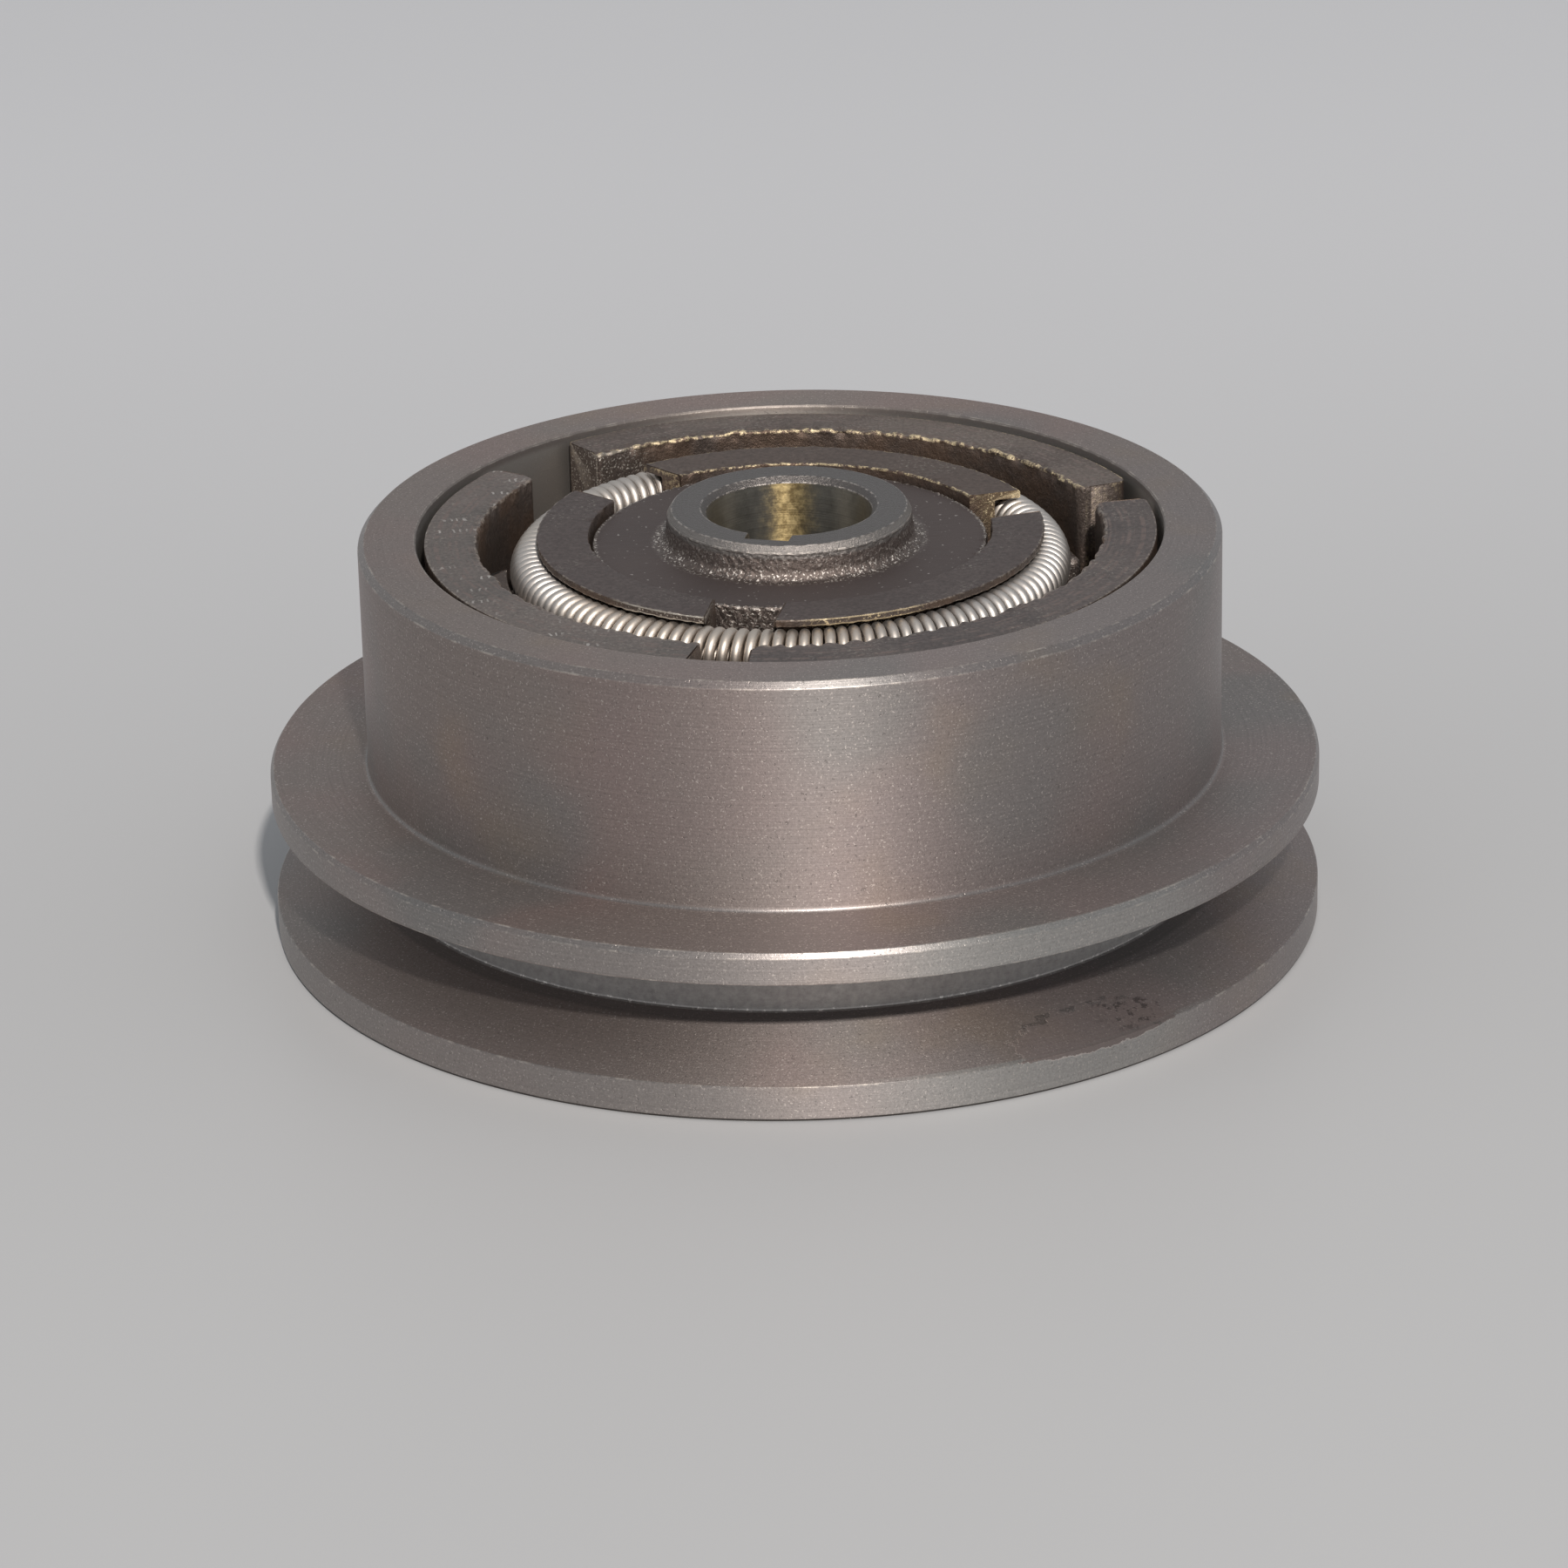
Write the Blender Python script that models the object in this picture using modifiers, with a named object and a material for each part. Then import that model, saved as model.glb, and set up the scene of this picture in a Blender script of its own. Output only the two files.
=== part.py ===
"""Centrifugal clutch with a single V-belt pulley, built at real size.

The pulley and drum are one casting that turns on two ball bearings. The keyed hub carries three
shoes, held in by one garter spring. Above idle speed the shoes move out and grip the drum.
Metres, +Z up, origin at the middle of the pulley's flat bottom, on the axis of rotation.
"""

import math

import bmesh
import bpy
from mathutils import Matrix, Vector

# Fits
TOUCH_GAP = 0.0003
SHOE_TRAVEL = 0.0009
SHOE_GRIP_GAP = 0.00015
DRIVE_PLAY = 0.0019

# Pulley and drum casting
FLANGE_RADIUS = 0.0640
LOWER_RIM_HEIGHT = 0.00436
GROOVE_MOUTH = 0.01269
UPPER_RIM_HEIGHT = 0.00384
GROOVE_DEPTH = 0.0124
GROOVE_FLANK_ANGLE = math.radians(17.5)
DRUM_RADIUS = 0.05208
DRUM_BORE_RADIUS = 0.0451
DRUM_RISE = 0.02808
DRUM_EDGE_CHAMFER = 0.00075
DRUM_MOUTH_CHAMFER = 0.0004
DRUM_FOOT_FILLET = 0.0006
RIM_CHAMFER = 0.00057
FOOT_CHAMFER = 0.00015
DRUM_WEB_THICKNESS = 0.0022
DRUM_WEB_OPENING_RADIUS = 0.0232
CAVITY_FILLET = 0.0005
POCKET_CHAMFER = 0.0006

# Ball bearings, 30 x 55 x 13 mm
BEARING_BORE_RADIUS = 0.0150
BEARING_RADIUS = 0.0275
BEARING_WIDTH = 0.0130
BALL_COUNT = 11
BALL_SEAL_GAP = 0.00173
INNER_TRACK_DEPTH = 0.00122
OUTER_TRACK_DEPTH = 0.00082
RACE_CHAMFER = 0.0006
SEAL_THICKNESS = 0.0008
SEAL_RECESS = 0.0004
CAGE_THICKNESS = 0.0010
CAGE_SIDE = 0.0006

# Retaining rings
POCKET_RING_INSET = 0.0016
POCKET_RING_THICKNESS = 0.0020
POCKET_RING_WIDTH = 0.0034
POCKET_GROOVE_DEPTH = 0.0013
SLEEVE_RING_THICKNESS = 0.0015
SLEEVE_RING_WIDTH = 0.0029
SLEEVE_GROOVE_DEPTH = 0.0009
RING_EAR_REACH = 0.0021
RING_EAR_HOLE_RADIUS = 0.0008
RING_EAR_RADIUS = 0.0019
RING_OPENING = 0.0080

# Driver hub
HUB_BORE_RADIUS = 0.0100
HUB_BORE_CHAMFER = 0.0007
KEYWAY_WIDTH = 0.0054
KEYWAY_DEPTH = 0.0024
SLEEVE_END = 0.0010
HUB_SHOULDER_RADIUS = 0.0180
SPIDER_RADIUS = 0.0239
SPIDER_EDGE_CHAMFER = 0.0004
SPIDER_FLOOR_GAP = 0.0008
SPIDER_RECESS = 0.00147
BOSS_RADIUS = 0.01476
BOSS_STAND = 0.00268
BOSS_CHAMFER = 0.00075
BOSS_LAND = 0.0006
BOSS_FLARE = 0.0009
BOSS_WAIST_FLARE = 0.00027
BOSS_WAIST_HEIGHT = 0.00072
ARM_COUNT = 3
ARM_WIDTH = 0.0056
ARM_REACH = 0.0365
ARM_CORNER = 0.0009
FIRST_ARM_ANGLE = math.radians(17.0)
KEYWAY_ARM = 2

# Shoes
SHOE_RECESS = 0.00067
SHOE_FLOOR_GAP = 0.0006
SHOE_WALL_THICKNESS = 0.00645
SHOE_WALL_HALF_ANGLE = math.radians(53.3)
SHOE_EDGE_CHAMFER = 0.0005
SHOE_TIP_CHAMFER = 0.0008
LIP_RECESS = 0.00047
LIP_THICKNESS = 0.0009
LIP_OVERHANG = 0.0032
NECK_THICKNESS = 0.00309
RIM_FOOT_REACH = 0.0049
LEDGE_DROP = 0.0043
WEB_LIFT = 0.0015
WEB_HALF_WIDTH_AT_WALL = 0.0101
WEB_HALF_WIDTH_AT_RIM = 0.0187

# Garter spring
COIL_RADIUS = 0.0030
WIRE_RADIUS = 0.00066
COIL_COUNT = 132
POINTS_PER_COIL = 5

# Facets round a full turn
DRUM_FACETS = 60
HUB_FACETS = 40
BEARING_FACETS = 28
TRACK_STEPS = 3
WINDOW_FACETS = 8
SHOE_FACETS = 72
RING_FACETS = 28
EAR_FACETS = 2
EAR_HOLE_FACETS = 8

# Each shoe's name, the arm before it, and how far it leans back or forward in its free play
SHOES = (("shoe_back", 0, -0.93), ("shoe_left", 1, 1.0), ("shoe_right", 2, 0.15))

# Heights and bearing radii that follow from the sizes above
GROOVE_BOTTOM_Z = LOWER_RIM_HEIGHT
GROOVE_TOP_Z = GROOVE_BOTTOM_Z + GROOVE_MOUTH
PULLEY_TOP_Z = GROOVE_TOP_Z + UPPER_RIM_HEIGHT
DRUM_TOP_Z = PULLEY_TOP_Z + DRUM_RISE
BEARING_PITCH_RADIUS = 0.5 * (BEARING_BORE_RADIUS + BEARING_RADIUS)
BALL_RADIUS = 0.5 * BEARING_WIDTH - SEAL_RECESS - SEAL_THICKNESS - BALL_SEAL_GAP
TRACK_RADIUS = BALL_RADIUS + TOUCH_GAP
INNER_RACE_SHOULDER_RADIUS = BEARING_PITCH_RADIUS - TRACK_RADIUS + INNER_TRACK_DEPTH
OUTER_RACE_SHOULDER_RADIUS = BEARING_PITCH_RADIUS + TRACK_RADIUS - OUTER_TRACK_DEPTH
POCKET_RADIUS = BEARING_RADIUS + TOUCH_GAP
SLEEVE_RADIUS = BEARING_BORE_RADIUS - TOUCH_GAP
LOWER_BEARING_Z = POCKET_RING_INSET + POCKET_RING_THICKNESS + TOUCH_GAP
UPPER_BEARING_Z = LOWER_BEARING_Z + BEARING_WIDTH + TOUCH_GAP
SHOULDER_Z = UPPER_BEARING_Z + BEARING_WIDTH + TOUCH_GAP
CAVITY_FLOOR_Z = SHOULDER_Z + DRUM_WEB_THICKNESS
SLEEVE_RING_Z = LOWER_BEARING_Z - TOUCH_GAP - SLEEVE_RING_THICKNESS
SLEEVE_END_Z = SLEEVE_RING_Z - TOUCH_GAP - SLEEVE_END
SPIDER_BOTTOM_Z = CAVITY_FLOOR_Z + SPIDER_FLOOR_GAP
SPIDER_TOP_Z = DRUM_TOP_Z - SPIDER_RECESS
BOSS_TOP_Z = DRUM_TOP_Z + BOSS_STAND
SHOE_BOTTOM_Z = CAVITY_FLOOR_Z + SHOE_FLOOR_GAP
SHOE_TOP_Z = DRUM_TOP_Z - SHOE_RECESS
LIP_TOP_Z = DRUM_TOP_Z - LIP_RECESS
LIP_BOTTOM_Z = LIP_TOP_Z - LIP_THICKNESS
SPRING_Z = LIP_BOTTOM_Z - TOUCH_GAP - COIL_RADIUS
CHANNEL_FLOOR_Z = SPRING_Z - COIL_RADIUS - TOUCH_GAP
LEDGE_Z = SHOE_TOP_Z - LEDGE_DROP
ARM_TOP_Z = CHANNEL_FLOOR_Z

# Radii of a shoe, from its own centre, which lies inward of the drum's by the travel
ARM_SPACING = 2.0 * math.pi / ARM_COUNT
SHOE_FACE_RADIUS = DRUM_BORE_RADIUS - SHOE_GRIP_GAP
SHOE_WALL_INNER_RADIUS = SHOE_FACE_RADIUS - SHOE_WALL_THICKNESS
RIM_INNER_RADIUS = SPIDER_RADIUS + TOUCH_GAP + SHOE_TRAVEL
RIM_HALF_ANGLE = 0.5 * ARM_SPACING - math.asin((0.5 * ARM_WIDTH + DRIVE_PLAY) / RIM_INNER_RADIUS)
NECK_RADIUS = RIM_INNER_RADIUS + NECK_THICKNESS
LIP_RADIUS = NECK_RADIUS + LIP_OVERHANG
RIM_FOOT_RADIUS = NECK_RADIUS + RIM_FOOT_REACH
SPRING_RADIUS = NECK_RADIUS - SHOE_TRAVEL * math.cos(RIM_HALF_ANGLE) + TOUCH_GAP + COIL_RADIUS
CHANNEL_RADIUS = SPRING_RADIUS + COIL_RADIUS + TOUCH_GAP + SHOE_TRAVEL
FREE_TURN = (DRIVE_PLAY - TOUCH_GAP) / RIM_FOOT_RADIUS


def clear_scene():
    for scene_object in list(bpy.data.objects):
        bpy.data.objects.remove(scene_object, do_unlink=True)


def new_collection(name):
    collection = bpy.data.collections.new(name)
    bpy.context.scene.collection.children.link(collection)
    return collection


def metal(name, colour, roughness, metallic=1.0):
    material = bpy.data.materials.new(name)
    material.use_nodes = True
    shader = material.node_tree.nodes["Principled BSDF"]
    shader.inputs["Base Color"].default_value = (*colour, 1.0)
    shader.inputs["Roughness"].default_value = roughness
    shader.inputs["Metallic"].default_value = metallic
    return material


def turned(name, profile, facets, collection):
    """Turn a closed profile of (radius, height) points, listed down the outer side, about Z."""
    mesh = bpy.data.meshes.new(name)
    points = [(radius, 0.0, height) for radius, height in profile]
    edges = [(index, (index + 1) % len(points)) for index in range(len(points))]
    mesh.from_pydata(points, edges, [])
    solid = bpy.data.objects.new(name, mesh)
    collection.objects.link(solid)
    screw = solid.modifiers.new("Turn", "SCREW")
    screw.axis = "Z"
    screw.steps = facets
    screw.render_steps = facets
    screw.use_merge_vertices = True
    screw.merge_threshold = 0.00001
    return solid


def evaluated_mesh(solid):
    """The object's mesh with its modifiers applied and its loose caps welded."""
    graph = bpy.context.evaluated_depsgraph_get()
    mesh = bpy.data.meshes.new_from_object(solid.evaluated_get(graph))
    cleaner = bmesh.new()
    cleaner.from_mesh(mesh)
    bmesh.ops.remove_doubles(cleaner, verts=cleaner.verts, dist=0.000001)
    cleaner.to_mesh(mesh)
    cleaner.free()
    return mesh


def flat_solid(name, loops, bottom, top, collection):
    """Extrude flat outlines between two heights. Loops after the first are holes in it."""
    curve = bpy.data.curves.new(name, "CURVE")
    curve.dimensions = "2D"
    curve.fill_mode = "BOTH"
    curve.extrude = 0.5 * (top - bottom)
    for loop in loops:
        spline = curve.splines.new("POLY")
        spline.points.add(len(loop) - 1)
        for point, (x, y) in zip(spline.points, loop):
            point.co = (x, y, 0.0, 1.0)
        spline.use_cyclic_u = True
    outline = bpy.data.objects.new(name + "_outline", curve)
    outline.location.z = 0.5 * (top + bottom)
    collection.objects.link(outline)
    bpy.context.view_layer.update()
    solid = bpy.data.objects.new(name, evaluated_mesh(outline))
    solid.matrix_world = outline.matrix_world.copy()
    bpy.data.objects.remove(outline)
    collection.objects.link(solid)
    return solid


def box(name, size, centre, angle, collection):
    """A box whose centre is given along a direction at the angle: (reach, sideways, height)."""
    mesh = bpy.data.meshes.new(name)
    shape = bmesh.new()
    bmesh.ops.create_cube(shape, size=1.0)
    bmesh.ops.scale(shape, vec=Vector(size), verts=shape.verts)
    bmesh.ops.translate(shape, vec=Vector(centre), verts=shape.verts)
    bmesh.ops.rotate(shape, cent=(0, 0, 0), matrix=Matrix.Rotation(angle, 3, "Z"), verts=shape.verts)
    shape.to_mesh(mesh)
    shape.free()
    solid = bpy.data.objects.new(name, mesh)
    collection.objects.link(solid)
    return solid


def combine(solid, other, operation):
    """Add a Boolean modifier and put the other solid away as its hidden tool."""
    cut = solid.modifiers.new(other.name, "BOOLEAN")
    cut.operation = operation
    cut.solver = "EXACT"
    cut.object = other
    other.hide_render = True
    other.display_type = "WIRE"
    return cut


def finish(solid, material, smooth_angle=35.0):
    """Give the object its own material and smooth round sides with sharp edges."""
    solid.data.materials.clear()
    solid.data.materials.append(material)
    solid.data.shade_smooth()
    solid.data.set_sharp_from_angle(angle=math.radians(smooth_angle))


def arc(radius, start, end, steps, centre=(0.0, 0.0)):
    """Points on an arc from one angle to another, both included."""
    turns = [start + (end - start) * step / steps for step in range(steps + 1)]
    return [(centre[0] + radius * math.cos(t), centre[1] + radius * math.sin(t)) for t in turns]


def direction(angle):
    return Vector((math.cos(angle), math.sin(angle), 0.0))


# Drum and pulley


def drum_profile():
    core_radius = FLANGE_RADIUS - GROOVE_DEPTH
    flank_rise = GROOVE_DEPTH * math.tan(GROOVE_FLANK_ANGLE)
    groove_radius = POCKET_RADIUS + POCKET_GROOVE_DEPTH
    ring_top_z = POCKET_RING_INSET + POCKET_RING_THICKNESS
    return [
        (DRUM_BORE_RADIUS + DRUM_MOUTH_CHAMFER, DRUM_TOP_Z),
        (DRUM_RADIUS - DRUM_EDGE_CHAMFER, DRUM_TOP_Z),
        (DRUM_RADIUS, DRUM_TOP_Z - DRUM_EDGE_CHAMFER),
        (DRUM_RADIUS, PULLEY_TOP_Z + DRUM_FOOT_FILLET),
        (DRUM_RADIUS + DRUM_FOOT_FILLET, PULLEY_TOP_Z),
        (FLANGE_RADIUS - RIM_CHAMFER, PULLEY_TOP_Z),
        (FLANGE_RADIUS, PULLEY_TOP_Z - RIM_CHAMFER),
        (FLANGE_RADIUS, GROOVE_TOP_Z),
        (core_radius, GROOVE_TOP_Z - flank_rise),
        (core_radius, GROOVE_BOTTOM_Z + flank_rise),
        (FLANGE_RADIUS, GROOVE_BOTTOM_Z),
        (FLANGE_RADIUS, FOOT_CHAMFER),
        (FLANGE_RADIUS - FOOT_CHAMFER, 0.0),
        (POCKET_RADIUS + POCKET_CHAMFER, 0.0),
        (POCKET_RADIUS, POCKET_CHAMFER),
        (POCKET_RADIUS, POCKET_RING_INSET - TOUCH_GAP),
        (groove_radius, POCKET_RING_INSET - TOUCH_GAP),
        (groove_radius, ring_top_z + TOUCH_GAP),
        (POCKET_RADIUS, ring_top_z + TOUCH_GAP),
        (POCKET_RADIUS, SHOULDER_Z),
        (DRUM_WEB_OPENING_RADIUS, SHOULDER_Z),
        (DRUM_WEB_OPENING_RADIUS, CAVITY_FLOOR_Z),
        (DRUM_BORE_RADIUS - CAVITY_FILLET, CAVITY_FLOOR_Z),
        (DRUM_BORE_RADIUS, CAVITY_FLOOR_Z + CAVITY_FILLET),
        (DRUM_BORE_RADIUS, DRUM_TOP_Z - DRUM_MOUTH_CHAMFER),
    ]


def make_drum_pulley(parts):
    drum = turned("drum_pulley", drum_profile(), DRUM_FACETS, parts)
    finish(drum, metal("turned_cast_iron", (0.30, 0.26, 0.24), 0.38))


# Driver hub


def hub_profile():
    sleeve_groove_radius = SLEEVE_RADIUS - SLEEVE_GROOVE_DEPTH
    boss_land_z = BOSS_TOP_Z - BOSS_CHAMFER - BOSS_LAND
    return [
        (HUB_BORE_RADIUS + HUB_BORE_CHAMFER, BOSS_TOP_Z),
        (BOSS_RADIUS - BOSS_CHAMFER, BOSS_TOP_Z),
        (BOSS_RADIUS, BOSS_TOP_Z - BOSS_CHAMFER),
        (BOSS_RADIUS, boss_land_z),
        (BOSS_RADIUS + BOSS_WAIST_FLARE, SPIDER_TOP_Z + BOSS_WAIST_HEIGHT),
        (BOSS_RADIUS + BOSS_FLARE, SPIDER_TOP_Z),
        (SPIDER_RADIUS - SPIDER_EDGE_CHAMFER, SPIDER_TOP_Z),
        (SPIDER_RADIUS, SPIDER_TOP_Z - SPIDER_EDGE_CHAMFER),
        (SPIDER_RADIUS, SPIDER_BOTTOM_Z),
        (HUB_SHOULDER_RADIUS, SPIDER_BOTTOM_Z),
        (HUB_SHOULDER_RADIUS, SHOULDER_Z),
        (SLEEVE_RADIUS, SHOULDER_Z),
        (SLEEVE_RADIUS, LOWER_BEARING_Z),
        (sleeve_groove_radius, LOWER_BEARING_Z),
        (sleeve_groove_radius, SLEEVE_RING_Z - TOUCH_GAP),
        (SLEEVE_RADIUS, SLEEVE_RING_Z - TOUCH_GAP),
        (SLEEVE_RADIUS, SLEEVE_END_Z),
        (HUB_BORE_RADIUS + HUB_BORE_CHAMFER, SLEEVE_END_Z),
        (HUB_BORE_RADIUS, SLEEVE_END_Z + HUB_BORE_CHAMFER),
        (HUB_BORE_RADIUS, BOSS_TOP_Z - HUB_BORE_CHAMFER),
    ]


def make_driver_hub(parts, cutters):
    hub = turned("driver_hub", hub_profile(), HUB_FACETS, parts)
    root_radius = 0.5 * (HUB_BORE_RADIUS + SPIDER_RADIUS)
    arm_bottom_z = SPIDER_BOTTOM_Z + SPIDER_EDGE_CHAMFER
    for arm in range(ARM_COUNT):
        size = (ARM_REACH - root_radius, ARM_WIDTH, ARM_TOP_Z - arm_bottom_z)
        centre = (0.5 * (ARM_REACH + root_radius), 0.0, 0.5 * (ARM_TOP_Z + arm_bottom_z))
        angle = FIRST_ARM_ANGLE + arm * ARM_SPACING
        lug = box("arm_%d" % (arm + 1), size, centre, angle, cutters)
        bevel = lug.modifiers.new("Cast edges", "BEVEL")
        bevel.width = ARM_CORNER
        bevel.segments = 1
        combine(hub, lug, "UNION")
    key_length = BOSS_TOP_Z - SLEEVE_END_Z + 2.0 * HUB_BORE_CHAMFER
    size = (HUB_BORE_RADIUS + KEYWAY_DEPTH, KEYWAY_WIDTH, key_length)
    centre = (0.5 * size[0], 0.0, 0.5 * (BOSS_TOP_Z + SLEEVE_END_Z))
    keyway = box("keyway", size, centre, FIRST_ARM_ANGLE + KEYWAY_ARM * ARM_SPACING, cutters)
    combine(hub, keyway, "DIFFERENCE")
    finish(hub, metal("rough_cast_hub", (0.16, 0.14, 0.13), 0.55))


# Shoes


def shoe_wall_profile():
    chamfer = SHOE_EDGE_CHAMFER
    return [
        (SHOE_WALL_INNER_RADIUS + chamfer, SHOE_TOP_Z),
        (SHOE_FACE_RADIUS - chamfer, SHOE_TOP_Z),
        (SHOE_FACE_RADIUS, SHOE_TOP_Z - chamfer),
        (SHOE_FACE_RADIUS, SHOE_BOTTOM_Z + chamfer),
        (SHOE_FACE_RADIUS - chamfer, SHOE_BOTTOM_Z),
        (SHOE_WALL_INNER_RADIUS, SHOE_BOTTOM_Z),
        (SHOE_WALL_INNER_RADIUS, SHOE_TOP_Z - chamfer),
    ]


def shoe_rim_profile():
    foot_top_z = 0.5 * (CHANNEL_FLOOR_Z + LIP_BOTTOM_Z)
    return [
        (RIM_INNER_RADIUS, LIP_TOP_Z),
        (LIP_RADIUS, LIP_TOP_Z),
        (LIP_RADIUS, foot_top_z),
        (RIM_FOOT_RADIUS, foot_top_z),
        (RIM_FOOT_RADIUS, SHOE_BOTTOM_Z),
        (RIM_INNER_RADIUS, SHOE_BOTTOM_Z),
    ]


def spring_channel_profile():
    return [
        (NECK_RADIUS, LIP_BOTTOM_Z),
        (CHANNEL_RADIUS, LIP_BOTTOM_Z),
        (CHANNEL_RADIUS, CHANNEL_FLOOR_Z),
        (NECK_RADIUS, CHANNEL_FLOOR_Z),
    ]


def rim_sector():
    """Wedge whose sides run beside the two arms, at half the arm's width and the play from them."""
    half_slot = 0.5 * ARM_WIDTH + DRIVE_PLAY
    half_angle = 0.5 * ARM_SPACING
    reach = 2.0 * FLANGE_RADIUS
    apex_x = SHOE_TRAVEL + half_slot / math.sin(half_angle)
    far_x = SHOE_TRAVEL + reach * math.cos(half_angle) + half_slot * math.sin(half_angle)
    far_y = reach * math.sin(half_angle) - half_slot * math.cos(half_angle)
    return [(apex_x, 0.0), (far_x, -far_y), (far_x, far_y)]


def wall_sector():
    """Wedge with its corners cut where it crosses the wall's inner and outer side."""
    cut = SHOE_TIP_CHAMFER
    corners = [
        (SHOE_WALL_INNER_RADIUS - cut, 2.0 * cut),
        (SHOE_WALL_INNER_RADIUS + cut, 0.0),
        (SHOE_FACE_RADIUS - cut, 0.0),
        (SHOE_FACE_RADIUS + cut, 2.0 * cut),
    ]
    turns = [(radius, SHOE_WALL_HALF_ANGLE - shift / radius) for radius, shift in corners]
    side = [(radius * math.cos(turn), radius * math.sin(turn)) for radius, turn in turns]
    far_x = 2.0 * FLANGE_RADIUS
    lower = [(x, -y) for x, y in side]
    return [(0.0, 0.0)] + lower + [(far_x, -side[-1][1]), (far_x, side[-1][1])] + side[::-1]


def web_outline():
    """Trapezium that joins the rim to the wall, widest at the rim, mirrored about the middle."""
    wall_x = math.sqrt(SHOE_WALL_INNER_RADIUS ** 2 - WEB_HALF_WIDTH_AT_WALL ** 2)
    rim_x = math.sqrt(CHANNEL_RADIUS ** 2 - WEB_HALF_WIDTH_AT_RIM ** 2)
    root_x = 0.5 * (RIM_INNER_RADIUS + NECK_RADIUS)
    wall_root_x = wall_x + 0.5 * SHOE_WALL_THICKNESS
    half = [
        (root_x, root_x * WEB_HALF_WIDTH_AT_RIM / rim_x),
        (rim_x, WEB_HALF_WIDTH_AT_RIM),
        (wall_x, WEB_HALF_WIDTH_AT_WALL),
        (wall_root_x, WEB_HALF_WIDTH_AT_WALL),
    ]
    return [(x, -y) for x, y in half] + half[::-1]


def shoe_mesh(cutters):
    """One shoe about its own centre, its middle along +X."""
    over = 2.0 * SHOE_EDGE_CHAMFER
    below, above = SHOE_BOTTOM_Z - over, LIP_TOP_Z + over
    wall = turned("shoe_wall", shoe_wall_profile(), SHOE_FACETS, cutters)
    combine(wall, flat_solid("wall_sector", [wall_sector()], below, above, cutters), "INTERSECT")
    rim = turned("shoe_rim", shoe_rim_profile(), SHOE_FACETS, cutters)
    combine(rim, flat_solid("rim_sector", [rim_sector()], below, above, cutters), "INTERSECT")
    web = flat_solid("shoe_web", [web_outline()], SHOE_BOTTOM_Z + WEB_LIFT, LEDGE_Z, cutters)
    channel = turned("spring_channel", spring_channel_profile(), SHOE_FACETS, cutters)
    combine(wall, web, "UNION")
    combine(wall, rim, "UNION")
    combine(wall, channel, "DIFFERENCE")
    bpy.context.view_layer.update()
    mesh = evaluated_mesh(wall)
    mesh.name = "shoe"
    wall.hide_render = True
    wall.display_type = "WIRE"
    return mesh


def make_shoes(parts, cutters):
    mesh = shoe_mesh(cutters)
    for name, arm, lean in SHOES:
        shoe = bpy.data.objects.new(name, mesh.copy())
        middle = FIRST_ARM_ANGLE + (arm + 0.5) * ARM_SPACING + lean * FREE_TURN
        shoe.rotation_euler.z = middle
        shoe.location = -SHOE_TRAVEL * direction(middle)
        parts.objects.link(shoe)
        finish(shoe, metal(name + "_iron", (0.18, 0.15, 0.14), 0.6))


# Garter spring


def make_garter_spring(parts):
    """A closed coil: the wire winds round a circle, and the circle round the shoes' channel."""
    winding_radius = COIL_RADIUS - WIRE_RADIUS
    count = COIL_COUNT * POINTS_PER_COIL
    curve = bpy.data.curves.new("garter_spring", "CURVE")
    curve.dimensions = "3D"
    curve.fill_mode = "FULL"
    curve.bevel_depth = WIRE_RADIUS
    curve.bevel_resolution = 0
    spline = curve.splines.new("POLY")
    spline.points.add(count - 1)
    for index, point in enumerate(spline.points):
        around = 2.0 * math.pi * index / count
        wind = 2.0 * math.pi * (index / POINTS_PER_COIL + 0.25)
        radius = SPRING_RADIUS + winding_radius * math.cos(wind)
        height = SPRING_Z + winding_radius * math.sin(wind)
        point.co = (radius * math.cos(around), radius * math.sin(around), height, 1.0)
    spline.use_cyclic_u = True
    spring = bpy.data.objects.new("garter_spring", curve)
    parts.objects.link(spring)
    curve.materials.append(metal("spring_steel", (0.62, 0.58, 0.54), 0.28))


# Ball bearings


def race_groove(radius, side):
    """Ball track across a race, top to bottom; side is -1 on the inner race, +1 on the outer."""
    shoulder = side * (radius - BEARING_PITCH_RADIUS)
    edge = math.acos(shoulder / TRACK_RADIUS)
    turns = [edge * (1.0 - 2.0 * step / TRACK_STEPS) for step in range(TRACK_STEPS + 1)]
    track = [(TRACK_RADIUS * math.cos(t), TRACK_RADIUS * math.sin(t)) for t in turns]
    return [(BEARING_PITCH_RADIUS + side * reach, height) for reach, height in track]


def outer_race_profile(bottom):
    middle, top = bottom + 0.5 * BEARING_WIDTH, bottom + BEARING_WIDTH
    groove = race_groove(OUTER_RACE_SHOULDER_RADIUS, 1)
    track = [(radius, middle + height) for radius, height in groove]
    return [
        (OUTER_RACE_SHOULDER_RADIUS, top),
        (BEARING_RADIUS - RACE_CHAMFER, top),
        (BEARING_RADIUS, top - RACE_CHAMFER),
        (BEARING_RADIUS, bottom + RACE_CHAMFER),
        (BEARING_RADIUS - RACE_CHAMFER, bottom),
        (OUTER_RACE_SHOULDER_RADIUS, bottom),
    ] + track[::-1]


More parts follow.
